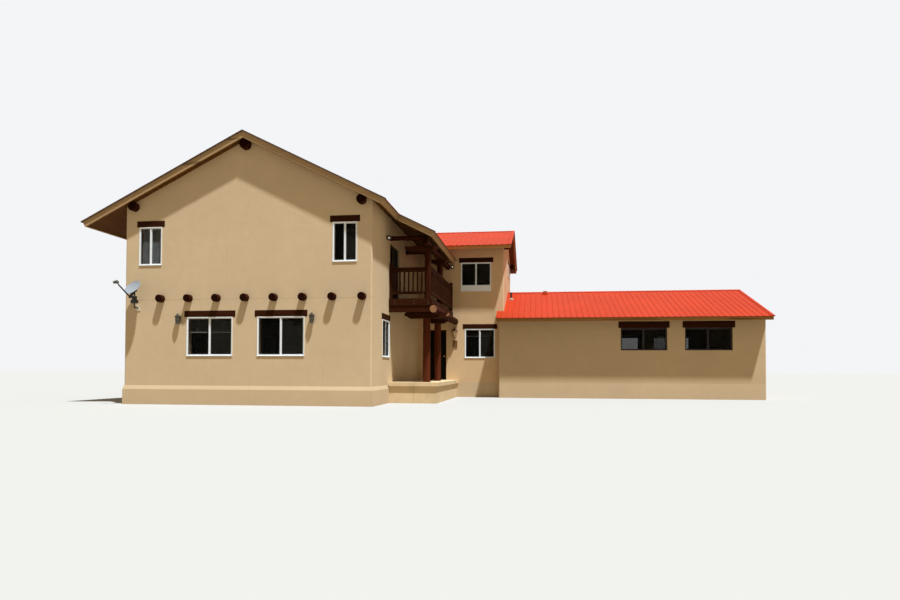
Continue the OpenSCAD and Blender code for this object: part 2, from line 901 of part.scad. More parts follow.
module wing_rear_wall() {
    color("wheat") difference() {
        intersection() {
            union() {
                block([wing_x0, wing_rear_y - wall_t, plinth_z], [wing_x1, wing_rear_y, ridge_z]);
                block([wing_x0, central_rear_y, plinth_z], [central_x, wing_rear_y, ridge_z]);
            }
            under_wing_roof();
        }
        corner_cuts(WING_REAR_CORNERS);
        window_cuts("wing_rear");
    }
}

// Logs

// Floor vigas through the main walls, and small ones under the balcony roof
module vigas() {
    color("#6b3a20") {
        for (i = [0 : viga_n - 1])
            log_y(viga_x0 + i * viga_gap, viga_z, viga_d, -viga_out, main_l + viga_out);
        for (y = upper_post_ys)
            log_x(y, small_viga_z, small_viga_d, main_x, upper_beam_x + 10);
    }
}

module roof_logs() {
    color("#6b3a20") {
        for (s = [-1, 1]) log_y(s * plate_log_x, plate_log_z, plate_log_d, -200, main_l + 200);
        log_y(0, ridge_log_z, ridge_log_d, -200, main_l + 200);
        central_logs(180);
    }
}

// Front door and its frame

module front_door_frame() {
    sill = floor_z + sill_t;
    x1 = frame_x1 - jamb_t;
    color("#5a3420") difference() {
        block([frame_x0, frame_y0, floor_z], [frame_x1, leaf_y1, doorway_top]);
        block([door_x0, leaf_y1 - door_t - door_gap, sill], [x1, leaf_y1 + over, head_z]);
        block([door_x0 + stop_t, frame_y0 - over, sill], [x1 - stop_t, leaf_y1 + over, head_z - stop_t]);
    }
}

module front_door() {
    panel_in = 12;
    stile = 120;
    y0 = leaf_y1 - door_t;
    color("#2f3a2c") difference() {
        block([leaf_x0, y0, leaf_z0], [leaf_x0 + door_w, leaf_y1, leaf_z0 + door_h]);
        for (row = [[220, 820], [1000, 1860]], col = [0, 1]) {
            x0 = leaf_x0 + stile + col * (door_w - stile) / 2;
            x1 = x0 + (door_w - 3 * stile) / 2;
            z0 = leaf_z0 + row[0];
            z1 = leaf_z0 + row[1];
            block([x0, y0 - over, z0], [x1, y0 + panel_in, z1]);
            block([x0, leaf_y1 - panel_in, z0], [x1, leaf_y1 + over, z1]);
        }
    }
}

// Knob outline: rose, neck and round grip, revolved
module knob() {
    rotate_extrude() polygon([
        [0, 0], [32, 0], [32, 6], [12, 10], [12, 30], [26, 38], [28, 50], [20, 60], [0, 62]
    ]);
}

// What rides on the leaf: a knob on each face and the hinges' barrels
module door_hardware() {
    at = [leaf_x0 + door_w - 70, leaf_y1, leaf_z0 + 950];
    color("#b08d57") {
        translate(at) rotate([-90, 0, 0]) knob();
        translate(at - [0, door_t, 0]) rotate([90, 0, 0]) knob();
        for (z = hinge_zs) hinge_barrel(z);
    }
}

// Butt hinges: the frame's plate has two knuckles and the pin, the leaf's plate the barrel between them

module hinge_plate(x0, x1, z) {
    block([x0, leaf_y1, z - hinge_len / 2], [x1, leaf_y1 + hinge_plate_t, z + hinge_len / 2]);
}

module knuckle(z0, z1, r) {
    translate([hinge_x, hinge_y, z0]) cylinder(r = r, h = z1 - z0);
}

module hinge_pins() {
    color("#b08d57") for (z = hinge_zs) difference() {
        union() {
            hinge_plate(frame_x0 + 4, hinge_x, z);
            for (s = [-1, 1]) knuckle(z + (2 * s - 1) * sixth, z + (2 * s + 1) * sixth, knuckle_r);
            knuckle(z - hinge_len / 2 - 6, z + hinge_len / 2 + 6, pin_r);
        }
        difference() {
            knuckle(z - sixth, z + sixth, knuckle_r + 3);
            knuckle(z - sixth - 1, z + sixth + 1, pin_r);
        }
    }
}

module hinge_barrel(z) {
    difference() {
        union() {
            difference() {
                hinge_plate(hinge_x, leaf_x0 + hinge_leaf, z);
                for (s = [-1, 1])
                    knuckle(z + (2 * s - 1) * sixth - 1, z + (2 * s + 1) * sixth + 1, knuckle_r + 3);
            }
            knuckle(z - sixth + 1, z + sixth - 1, knuckle_r);
        }
        knuckle(z - hinge_len, z + hinge_len, pin_r + pin_play);
    }
}

// Balcony doors: a fixed pair of glazed leaves

module balcony_door_frame() {
    color("#4a3428") on_wall("main_right", balcony_door_y, upper_z)
        window_frame(balcony_door_w, balcony_door_h, balcony_door_reveal);
}

// Porch

module porch_slab() {
    color("#cdb08a") union() {
        block([main_x + plinth_out, porch_y0, floor_z - slab_top_t], [porch_x1, central_y, floor_z]);
        block([main_x + plinth_out, porch_y0 + 60, 0], [porch_x1 - 60, central_y, floor_z - slab_top_t]);
        block([main_x, porch_y0, plinth_z], [main_x + plinth_out, central_y, floor_z]);
    }
}

// Porch columns, and the posts that stand on the balcony
module log_posts() {
    color("#6b3a20") {
        for (y = column_ys)
            translate([column_x, y, floor_z]) cylinder(d = column_d, h = corbel_top - corbel_h - floor_z);
        for (y = upper_post_ys)
            translate([upper_post_x, y, balcony_z])
                cylinder(d = upper_log_d, h = upper_corbel_top - upper_corbel_h - balcony_z);
    }
}

// Corbel block: each end is cut back in a cove, a small step and a rounded nose
module corbel(len, h, w) {
    nose = h * 0.3;
    cove = h - nose;
    rotate([90, 0, 0]) translate([0, 0, -w / 2]) linear_extrude(w) difference() {
        union() {
            translate([-len / 2 + nose, -h]) square([len - 2 * nose, h]);
            translate([-len / 2, -nose]) square([len, nose]);
            for (s = [-1, 1]) translate([s * (len / 2 - nose), -nose]) circle(r = nose);
        }
        for (s = [-1, 1]) {
            translate([s * (len / 2 - nose), -h]) circle(r = cove - nose);
            translate([s * (len / 2 - nose), -h]) square([2 * cove, h * 0.3], center = true);
        }
    }
}

// The lower corbels are hollowed into saddles, in which the log beam lies
module corbels() {
    color("#6b3a20") {
        difference() {
            for (i = [0, 1])
                translate([column_x, column_ys[i], corbel_top]) corbel(corbel_lens[i], corbel_h, corbel_w);
            log_y(beam_x, beam_z, beam_d, beam_y0, central_y);
        }
        for (i = [0, 1])
            translate([upper_corbels[i][0], upper_post_ys[i], upper_corbel_top])
                corbel(upper_corbels[i][1], upper_corbel_h, upper_corbel_w);
    }
}

module log_beams() {
    color("#6b3a20") {
        log_y(beam_x, beam_z, beam_d, beam_y0, central_y);
        log_y(upper_beam_x, upper_beam_z, upper_log_d, upper_beam_y0, central_y);
    }
}

// Balcony floor: boards on joists, a header of two boards in front, and a side rim notched over the beam
module balcony_floor() {
    joist_w = 90;
    rim_t = 60;
    header_z = 3270;
    header_foot = 3050;
    top = balcony_z - deck_t;
    side_x = balcony_x - rim_t;
    color("#4a2818") difference() {
        union() {
            block([main_x, balcony_y, top], [balcony_x, central_y, balcony_z]);
            for (y = [balcony_y + rim_t + 400 : 600 : central_y - 300])
                block([main_x, y, top - joist_h], [side_x, y + joist_w, top]);
            block([main_x, balcony_y, header_z], [balcony_x, balcony_y + rim_t, top]);
            block([main_x, balcony_y + 20, header_foot], [side_x, balcony_y + rim_t + 20, header_z]);
            block([side_x, balcony_y, beam_z + 60], [balcony_x, central_y, top]);
        }
        log_y(beam_x, beam_z, beam_d, beam_y0, central_y + over);
    }
}

// Railing: end posts, rails and square balusters along the front and the side
module balcony_railing() {
    post = 110;
    rail = 60;
    bar = 45;
    cap_h = 40;
    low_z = balcony_z + 165;
    top_z = balcony_z + rail_h;
    // Heights of the foot rail and of the board under the handrail
    bands = [[low_z, low_z + 85], [top_z - 140, top_z - cap_h]];
    x0 = main_x;
    y1 = central_y;
    // Centre lines of the front and side runs
    run_y = upper_post_ys[0];
    run_x = balcony_x - 75;
    color("#5a3020") difference() {
        union() {
            block([x0, run_y - post / 2, balcony_z], [x0 + post, run_y + post / 2, top_z + 140]);
            block([run_x - post / 2, y1 - post, balcony_z], [run_x + post / 2, y1, top_z + 140]);
            for (z = bands) {
                block([x0, run_y - rail / 2, z[0]], [run_x, run_y + rail / 2, z[1]]);
                block([run_x - rail / 2, run_y, z[0]], [run_x + rail / 2, y1, z[1]]);
            }
            block([x0, run_y - post / 2, top_z - cap_h], [run_x, run_y + post / 2, top_z]);
            block([run_x - post / 2, run_y, top_z - cap_h], [run_x + post / 2, y1, top_z]);
            for (x = [x0 + post + baluster_gap / 2 : baluster_gap : run_x - post - bar])
                block([x, run_y - bar / 2, low_z], [x + bar, run_y + bar / 2, top_z - cap_h]);
            for (y = [run_y + post + baluster_gap / 2 : baluster_gap : y1 - post - bar])
                block([run_x - bar / 2, y, low_z], [run_x + bar / 2, y + bar, top_z - cap_h]);
        }
        for (y = upper_post_ys)
            translate([upper_post_x, y, balcony_z - over]) cylinder(d = upper_log_d, h = 2 * rail_h);
    }
}

// Lights and small fittings

// Jar light: a wall plate and an arm carry the cap, with the jar hung under it
module jar_light() {
    block([-50, -30, -60], [50, 0, 110]);
    block([-25, -95, 72], [25, 0, 100]);
    translate([0, -95, -160]) {
        cylinder(r1 = 60, r2 = 75, h = 230);
        translate([0, 0, 230]) cylinder(d = 170, h = 30);
        translate([0, 0, 260]) cylinder(d1 = 90, d2 = 60, h = 50);
    }
}

// Flood light: its head is turned about the neck, and tipped down
module flood_light(turn = 0) {
    rotate([90, 0, 0]) cylinder(d = 110, h = 30);
    translate([0, -20, 0]) rotate([90, 0, 0]) cylinder(d = 34, h = 90);
    translate([0, -100, 0]) rotate([0, 0, turn]) rotate([110, 0, 0]) rotate_extrude()
        polygon([
            [0, -20], [26, -20], [30, 0], [36, 40], [80, 108], [85, 125], [70, 125], [66, 112], [0, 112]
        ]);
}

// Porch lantern: wall plate, arm, and a six-sided body under a hood
module lantern() {
    block([-60, -25, -140], [60, 0, 140]);
    block([-15, -160, 110], [15, 0, 140]);
    translate([0, -150, -225]) {
        cylinder(d1 = 130, d2 = 220, h = 270, $fn = 6);
        translate([0, 0, 270]) cylinder(d1 = 280, d2 = 60, h = 110, $fn = 6);
        translate([0, 0, 380]) cylinder(d = 30, h = 95);
    }
}

module wall_lights() {
    color("#4f4a46") {
        on_wall("central_front", 5625, 2670) lantern();
        for (s = [-1, 1]) on_wall("main_front", s * 2190, 2690) jar_light();
        on_wall("main_right", 1890, 5515) flood_light(-90);
        on_wall("central_front", 5532, 5395) flood_light();
    }
}

module door_plaque() {
    color("#7a5a3c") on_wall("central_front", 5622, 2184) block([-93, -20, -145], [93, 0, 145]);
}

// Dish on a wall mast: a shallow parabolic bowl, a clamp behind it, and a boom that carries the pick-up.
// Positions are from the foot of the mast, with -Y out of the wall.
module satellite_dish() {
    bowl_r = 277;
    rise = 55;
    skin = 8;
    steps = 6;
    mast_y = -200;
    color("#8d8d8d") on_wall("main_front", -3590, 3055) {
        block([-70, -14, -90], [70, 0, 90]);
        translate([0, -10, 0]) rotate([90, 0, 0]) cylinder(d = 42, h = -mast_y - 10);
        translate([0, mast_y, 0]) sphere(d = 42);
        translate([0, mast_y, 0]) cylinder(d = 42, h = 525);
        block([-105, mast_y - 50, 130], [105, mast_y + 40, 230]);
        block([-55, mast_y - 70, 220], [55, mast_y + 45, 355]);
        translate([30, -300, 582]) rotate([52, 0, -14]) {
            translate([0, 0, -115]) cylinder(d = 90, h = 120);
            rotate_extrude() polygon([
                for (i = [0 : steps]) [bowl_r * i / steps, rise * pow(i / steps, 2)],
                for (i = [steps : -1 : 0]) [bowl_r * i / steps, rise * pow(i / steps, 2) + skin]
            ]);
            block([-35, -330, -95], [35, 20, -40]);
            translate([0, -300, -60]) cylinder(d = 28, h = 620);
            translate([0, -300, 545]) rotate([-25, 0, 0]) cylinder(d1 = 62, d2 = 92, h = 85);
        }
    }
}

module roof_vents() {
    color("#b0402e") {
        vent(7850, 9440, 90, 300);
        vent(9340, 10440, 170, 90);
    }
}

// Pipe that stands on the wing roof
module vent(x, y, d, h) {
    difference() {
        translate([x, y, wing_top(y) - 100]) cylinder(d = d, h = h + 100);
        translate([x, y, wing_top(y) + 20]) cylinder(d = d - 12, h = h);
        under_wing_top();
    }
}

module under_wing_top() {
    along_x(wing_x0, wing_x1)
        polygon([
            [wing_y, 0], [wing_rear_y, 0], [wing_rear_y, wing_top(wing_rear_y)],
            [wing_mid_y, wing_ridge_z], [wing_y, wing_top(wing_y)]
        ]);
}

foundation_walls();
ground_floor();
upper_floor();
porch_slab();
main_front_wall_lower();
main_front_wall_upper();
main_left_wall();
main_rear_wall();
main_right_wall();
main_inner_wall();
central_front_wall_lower();
central_front_wall_upper();
central_right_wall();
central_rear_wall();
wing_front_wall();
wing_right_wall();
wing_rear_wall();
main_roof_metal();
central_roof_metal();
wing_roof_metal();
roof_decks();
roof_boards();
main_fascia();
central_fascia();
wing_fascia();
vigas();
roof_logs();
lintels();
house_window_frames();
wing_window_frames();
balcony_door_frame();
window_glass();
front_door_frame();
front_door();
door_hardware();
hinge_pins();
log_posts();
corbels();
log_beams();
balcony_floor();
balcony_railing();
wall_lights();
door_plaque();
satellite_dish();
roof_vents();
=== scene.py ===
"""Looks of the adobe house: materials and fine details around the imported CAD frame, in metres."""
import math

import bmesh
import bpy
from mathutils import Matrix, Vector, noise


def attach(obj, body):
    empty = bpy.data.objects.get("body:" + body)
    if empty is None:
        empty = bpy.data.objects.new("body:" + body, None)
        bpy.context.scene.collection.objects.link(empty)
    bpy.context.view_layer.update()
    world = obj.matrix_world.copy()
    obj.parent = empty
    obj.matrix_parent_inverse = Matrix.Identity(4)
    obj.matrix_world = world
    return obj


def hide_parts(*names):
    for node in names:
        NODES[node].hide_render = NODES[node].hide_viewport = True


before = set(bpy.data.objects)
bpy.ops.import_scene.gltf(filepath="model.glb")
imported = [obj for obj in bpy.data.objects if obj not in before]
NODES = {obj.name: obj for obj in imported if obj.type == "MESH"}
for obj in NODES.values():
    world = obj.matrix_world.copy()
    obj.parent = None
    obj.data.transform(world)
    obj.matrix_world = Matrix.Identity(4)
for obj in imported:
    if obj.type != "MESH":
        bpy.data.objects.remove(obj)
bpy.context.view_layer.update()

# Main sizes of the house, in metres, as in the part's source
MAIN_X = 4.05
MAIN_L = 14.44
RAKE_OVER = 0.34
RIDGE_Z = 8.5
MAIN_PITCH = 0.5
MAIN_SOFFIT = 0.2
LEFT_EAVE_X = -5.4
FRONT_EAVE_X = 4.535
STEP_Y = 1.716
BALCONY_EAVE_X = 5.7
REAR_EAVE_X = 4.65
CENTRAL_X = 7.64
CENTRAL_Y = 7.5
CENTRAL_REAR_Y = 13.3
CENTRAL_RIDGE_Y = 10.4
CENTRAL_RIDGE_Z = 7.4566
CENTRAL_PITCH = 0.36
CENTRAL_HALF = 3.56
CENTRAL_RAKE_X = 7.97
WING_Y = 7.09
WING_MID_Y = 10.765
WING_HALF = 4.285
WING_RIDGE_Z = 4.68975
WING_PITCH = 0.35
WING_ROOF_X0 = 7.365
WING_ROOF_X1 = 17.8
SMALL_SOFFIT = 0.15
FASCIA_IN = 0.08
RIB_H = 0.019
TRIM_W = 0.1
CAP_W = 0.15
EAVE_GAP = 0.01
SPLIT_Z = 3.34
BALCONY_X = 5.535
BALCONY_Y = 2.2
BALCONY_Z = 3.5
PORCH_TOP_Z = 2.9
DOOR_WALL_Y = 7.6
PANEL_WINDOW_Z = 4.36
BLIND_X = (-1.168, -3.192)

# Directions: up, and out of the front walls
UP = (0, 0, 1)
OUT = (0, -1, 0)


# Materials

class Graph:
    """A small helper around one material's node tree."""

    def __init__(self, name):
        self.mat = bpy.data.materials.new(name)
        self.mat.use_nodes = True
        self.tree = self.mat.node_tree
        self.bsdf = self.tree.nodes["Principled BSDF"]
        coords = self.tree.nodes.new("ShaderNodeTexCoord")
        self.co = coords.outputs["Object"]
        self.uv = coords.outputs["UV"]
        self.height = None

    def node(self, kind, **values):
        n = self.tree.nodes.new("ShaderNode" + kind)
        for key, value in values.items():
            setattr(n, key, value)
        return n

    def link(self, a, b):
        self.tree.links.new(a, b)

    def put(self, socket, value):
        """Gives a socket a link, a number, or a colour of three numbers."""
        if isinstance(value, bpy.types.NodeSocket):
            self.link(value, socket)
        elif isinstance(value, tuple):
            socket.default_value = (*value, 1.0)
        else:
            socket.default_value = value

    def math(self, op, a, b=0.0):
        n = self.node("Math", operation=op)
        self.put(n.inputs[0], a)
        self.put(n.inputs[1], b)
        return n.outputs[0]

    def times(self, a, b):
        return self.math("MULTIPLY", a, b)

    def split(self, vector=None):
        n = self.node("SeparateXYZ")
        self.put(n.inputs[0], vector or self.co)
        return n.outputs

    def stretch(self, scale):
        n = self.node("Mapping")
        self.link(self.co, n.inputs["Vector"])
        n.inputs["Scale"].default_value = scale
        return n.outputs[0]

    def noise(self, scale, detail=4.0, rough=0.55, vector=None, distortion=0.0):
        n = self.node("TexNoise")
        self.put(n.inputs["Vector"], vector or self.co)
        n.inputs["Scale"].default_value = scale
        n.inputs["Detail"].default_value = detail
        n.inputs["Roughness"].default_value = rough
        n.inputs["Distortion"].default_value = distortion
        return n.outputs["Fac"]

    def voronoi(self, scale):
        n = self.node("TexVoronoi")
        self.put(n.inputs["Vector"], self.co)
        n.inputs["Scale"].default_value = scale
        return n.outputs["Distance"]

    def ramp(self, factor, low, high, a=0.0, b=1.0):
        n = self.node("MapRange", clamp=True)
        self.put(n.inputs["Value"], factor)
        for name, value in (("From Min", low), ("From Max", high), ("To Min", a), ("To Max", b)):
            n.inputs[name].default_value = value
        return n.outputs[0]

    def mix(self, factor, a, b):
        n = self.node("Mix", data_type="RGBA")
        self.put(n.inputs[0], factor)
        self.put(n.inputs[6], a)
        self.put(n.inputs[7], b)
        return n.outputs[2]

    def near(self, value, centre, half):
        """1 where value is within half of centre, else 0."""
        gap = self.math("ABSOLUTE", self.math("SUBTRACT", value, centre))
        return self.math("LESS_THAN", gap, half)

    def colour(self, value):
        self.put(self.bsdf.inputs["Base Color"], value)

    def rough(self, value):
        self.put(self.bsdf.inputs["Roughness"], value)

    def specular(self, value):
        self.bsdf.inputs["Specular IOR Level"].default_value = value

    def bump(self, height, distance, strength=1.0):
        n = self.node("Bump")
        n.inputs["Strength"].default_value = strength
        n.inputs["Distance"].default_value = distance
        self.put(n.inputs["Height"], height)
        if self.height is not None:
            self.link(self.height, n.inputs["Normal"])
        self.height = n.outputs[0]
        self.link(self.height, self.bsdf.inputs["Normal"])


def shade(c, k):
    return (c[0] * k, c[1] * k, c[2] * k)


def stucco(name, base, joints=False):
    """Sand-finished stucco, with the joint lines of the front wall where it has them."""
    g = Graph(name)
    g.specular(0.15)
    x, y, z = g.split()
    cloud = g.noise(0.45, 5, 0.6)
    trowel = g.noise(3.2, 4, 0.55, distortion=0.4)
    grain = g.noise(240, 2, 0.7)
    c = g.mix(g.ramp(cloud, 0.3, 0.7), shade(base, 0.94), shade(base, 1.05))
    c = g.mix(g.ramp(trowel, 0.35, 0.7, 0.0, 0.5), c, shade(base, 0.92))
    c = g.mix(g.ramp(grain, 0.35, 0.65, 0.0, 0.25), c, shade(base, 0.8))
    low = g.ramp(g.math("ADD", z, g.times(trowel, 0.4)), 0.2, 0.8, 0.25, 0.0)
    c = g.mix(low, c, shade(base, 0.78))
    streaks = g.noise(9, 3, 0.5, g.stretch((1, 1, 0.04)))
    c = g.mix(g.ramp(streaks, 0.62, 0.8, 0.0, 0.10), c, (0.30, 0.20, 0.11))
    if joints:
        storey = g.near(z, SPLIT_Z - 0.035, 0.004)
        high = g.math("GREATER_THAN", g.math("ADD", z, g.times(cloud, 0.6)), 6.8)
        upright = g.times(g.near(x, 0.0, 0.004), high)
        joint = g.math("MAXIMUM", storey, g.times(upright, 0.6))
        c = g.mix(g.times(joint, 0.3), c, (0.22, 0.15, 0.08))
        g.bump(g.math("SUBTRACT", 1.0, joint), 0.004)
    g.colour(c)
    g.rough(0.92)
    g.bump(trowel, 0.012, 0.35)
    g.bump(g.noise(60, 3, 0.6), 0.003, 0.5)
    g.bump(grain, 0.0012, 0.8)
    return g.mat


def wood(name, base, dark, along, rough=0.7, rings=14.0, bump=0.002):
    """Stained timber with grain that runs along one axis: 0 X, 1 Y, 2 Z."""
    g = Graph(name)
    g.specular(0.05)
    scale = [rings, rings, rings]
    scale[along] = rings * 0.045
    v = g.stretch(tuple(scale))
    fibre = g.noise(3.0, 8, 0.68, v, 0.6)
    broad = g.noise(0.6, 3, 0.5, v, 1.2)
    c = g.mix(g.ramp(fibre, 0.32, 0.68), dark, base)
    c = g.mix(g.ramp(broad, 0.4, 0.75, 0.0, 0.5), c, shade(base, 1.25))
    cracks = g.ramp(g.noise(1.4, 2, 0.4, v, 0.2), 0.66, 0.70)
    c = g.mix(g.times(cracks, 0.7), c, shade(dark, 0.35))
    g.colour(c)
    g.rough(g.ramp(fibre, 0.3, 0.7, rough + 0.1, rough - 0.1))
    g.bump(g.math("SUBTRACT", fibre, g.times(cracks, 1.6)), bump)
    return g.mat


def fascia_paint(name, base):
    return wood(name, base, shade(base, 0.86), 0, 0.6, rings=5, bump=0.0008)


def end_grain(name, base, dark):
    """Sawn end of a log: rings about the middle of its UV map, and checks that run out from it."""
    g = Graph(name)
    g.specular(0.04)
    u, v, _ = g.split(g.uv)
    r = g.math("SQRT", g.math("ADD", g.times(u, u), g.times(v, v)))
    wobble = g.noise(11, 3, 0.6)
    rings = g.math("SINE", g.math("ADD", g.times(r, 900.0), g.times(wobble, 14.0)))
    c = g.mix(g.ramp(rings, -1.0, 1.0, 0.0, 0.7), base, dark)
    c = g.mix(g.ramp(g.noise(30, 4, 0.6), 0.45, 0.7, 0.0, 0.5), c, shade(base, 0.7))
    turn = g.node("CombineXYZ")
    g.put(turn.inputs[0], g.math("DIVIDE", u, r))
    g.put(turn.inputs[1], g.math("DIVIDE", v, r))
    g.put(turn.inputs[2], g.times(wobble, 0.3))
    checks = g.ramp(g.noise(5.0, 2, 0.5, turn.outputs[0]), 0.60, 0.64)
    checks = g.times(checks, g.ramp(r, 0.01, 0.06))
    c = g.mix(g.times(checks, 0.85), c, shade(dark, 0.3))
    g.colour(c)
    g.rough(0.85)
    g.bump(g.math("SUBTRACT", rings, g.times(checks, 6.0)), 0.0006)
    return g.mat


def painted(name, base, rough=0.45, worn=None, metallic=0.0, speck=0.06, specular=0.35):
    """Painted or plated surface with a faint orange peel and a little dirt."""
    g = Graph(name)
    g.specular(specular)
    peel = g.noise(420, 2, 0.5)
    dirt = g.noise(6, 6, 0.65)
    c = g.mix(g.ramp(dirt, 0.45, 0.75, 0.0, 0.5), base, shade(base, 1 - 3 * speck))
    c = g.mix(g.ramp(peel, 0.3, 0.7, 0.0, 0.3), c, shade(base, 1 + speck))
    if worn:
        c = g.mix(g.ramp(g.noise(28, 5, 0.7), 0.62, 0.72, 0.0, 0.8), c, worn)
    g.bsdf.inputs["Metallic"].default_value = metallic
    g.colour(c)
    g.rough(g.ramp(dirt, 0.3, 0.8, rough - 0.08, rough + 0.12))
    g.bump(peel, 0.0004, 0.4)
    return g.mat


def red_metal(name, base):
    """Painted roofing, a little dusty, with a faint wave in its flat sheet."""
    g = Graph(name)
    g.specular(0.05)
    broad = g.noise(0.7, 3, 0.5)
    dust = g.noise(30, 5, 0.7)
    c = g.mix(g.ramp(broad, 0.3, 0.7), shade(base, 0.93), shade(base, 1.06))
    c = g.mix(g.ramp(dust, 0.5, 0.85, 0.0, 0.15), c, (0.42, 0.10, 0.045))
    g.colour(c)
    g.rough(g.ramp(dust, 0.3, 0.8, 0.46, 0.62))
    g.bump(g.noise(2.4, 3, 0.5, g.stretch((1.0, 1.0, 0.3))), 0.006, 0.25)
    g.bump(g.noise(300, 2, 0.5), 0.0003, 0.4)
    return g.mat


def pane_glass(name, base, alpha, specular=0.15):
    """Glass over a dark room, with a faint haze and the slight waves of real panes."""
    g = Graph(name)
    g.specular(specular)
    g.bsdf.inputs["Alpha"].default_value = alpha
    haze = g.noise(1.6, 4, 0.6)
    g.colour(g.mix(g.ramp(haze, 0.3, 0.7), shade(base, 0.7), shade(base, 1.3)))
    g.rough(g.ramp(g.noise(40, 4, 0.6), 0.4, 0.8, 0.02, 0.06))
    g.bump(g.noise(1.1, 1, 0.4), 0.004, 0.15)
    return g.mat


def insect_screen():
    """Fine woven screen, which thins the light behind it."""
    g = Graph("insect_screen")
    g.specular(0.1)
    x, y, z = g.split()
    weave = g.times(g.math("SINE", g.times(g.math("ADD", x, y), 4200.0)),
                    g.math("SINE", g.times(z, 4200.0)))
    g.colour(g.mix(g.ramp(weave, -1.0, 1.0), (0.018, 0.017, 0.014), (0.034, 0.032, 0.026)))
    g.bsdf.inputs["Alpha"].default_value = 0.22
    g.rough(0.8)
    return g.mat


def concrete(name, base, joints=False):
    g = Graph(name)
    g.specular(0.2)
    blotch = g.noise(1.8, 6, 0.65)
    pits = g.voronoi(70)
    grain = g.noise(160, 3, 0.7)
    c = g.mix(g.ramp(blotch, 0.3, 0.72), shade(base, 0.82), shade(base, 1.08))
    c = g.mix(g.ramp(grain, 0.35, 0.7, 0.0, 0.3), c, shade(base, 0.7))
    c = g.mix(g.ramp(g.noise(0.9, 3, 0.5), 0.6, 0.75, 0.0, 0.3), c, (0.45, 0.20, 0.09))
    if joints:
        x, y, _ = g.split()
        tooled = g.near(x, 4.92, 0.005)
        for at in (3.45, 4.8, 6.15):
            tooled = g.math("MAXIMUM", tooled, g.near(y, at, 0.005))
        c = g.mix(g.times(tooled, 0.6), c, shade(base, 0.35))
        g.bump(g.math("SUBTRACT", 1.0, tooled), 0.006)
    g.colour(c)
    g.rough(g.ramp(blotch, 0.3, 0.7, 0.72, 0.9))
    g.bump(g.ramp(pits, 0.0, 0.25), 0.0015, 0.5)
    g.bump(grain, 0.001, 0.6)
    return g.mat


def lamp_lens(name, base, glow):
    """Prismatic lamp glass, which is a little bright of itself."""
    g = Graph(name)
    cells = g.ramp(g.voronoi(120), 0.0, 0.5)
    g.colour(g.mix(cells, shade(base, 0.75), base))
    g.rough(0.18)
    g.bsdf.inputs["Coat Weight"].default_value = 0.5
    g.put(g.bsdf.inputs["Emission Color"], base)
    g.bsdf.inputs["Emission Strength"].default_value = glow
    g.bump(cells, 0.0015)
    return g.mat


STUCCO = (0.650, 0.505, 0.330)
# The central block's stucco is warmer than the main block's: painted warm light thrown back from
# the ground.
CENTRAL_STUCCO_WITH_PAINTED_BOUNCE = (0.700, 0.500, 0.300)
WING_STUCCO = (0.600, 0.455, 0.285)
LOG = (0.108, 0.025, 0.0085)
LOG_DARK = (0.048, 0.011, 0.005)
# Darker copies of the log colours: painted shade under the balcony roof. The vigas and roof logs
# take them too.
PAINTED_SHADE_LOG = (0.046, 0.0085, 0.0022)
PAINTED_SHADE_LOG_DARK = (0.020, 0.0045, 0.0015)
TIMBER = (0.042, 0.0105, 0.0025)
TIMBER_DARK = (0.020, 0.0055, 0.0015)
SOFFIT = (0.115, 0.048, 0.009)
SOFFIT_DARK = (0.100, 0.042, 0.0078)
FASCIA = (0.41, 0.275, 0.145)
CENTRAL_FASCIA = (0.52, 0.270, 0.095)
# The wing's fascia is darker than the main fascia, partly as painted shade from the metal lip over
# it.
PAINTED_SHADE_FASCIA = (0.34, 0.170, 0.055)
RED = (0.415, 0.036, 0.010)

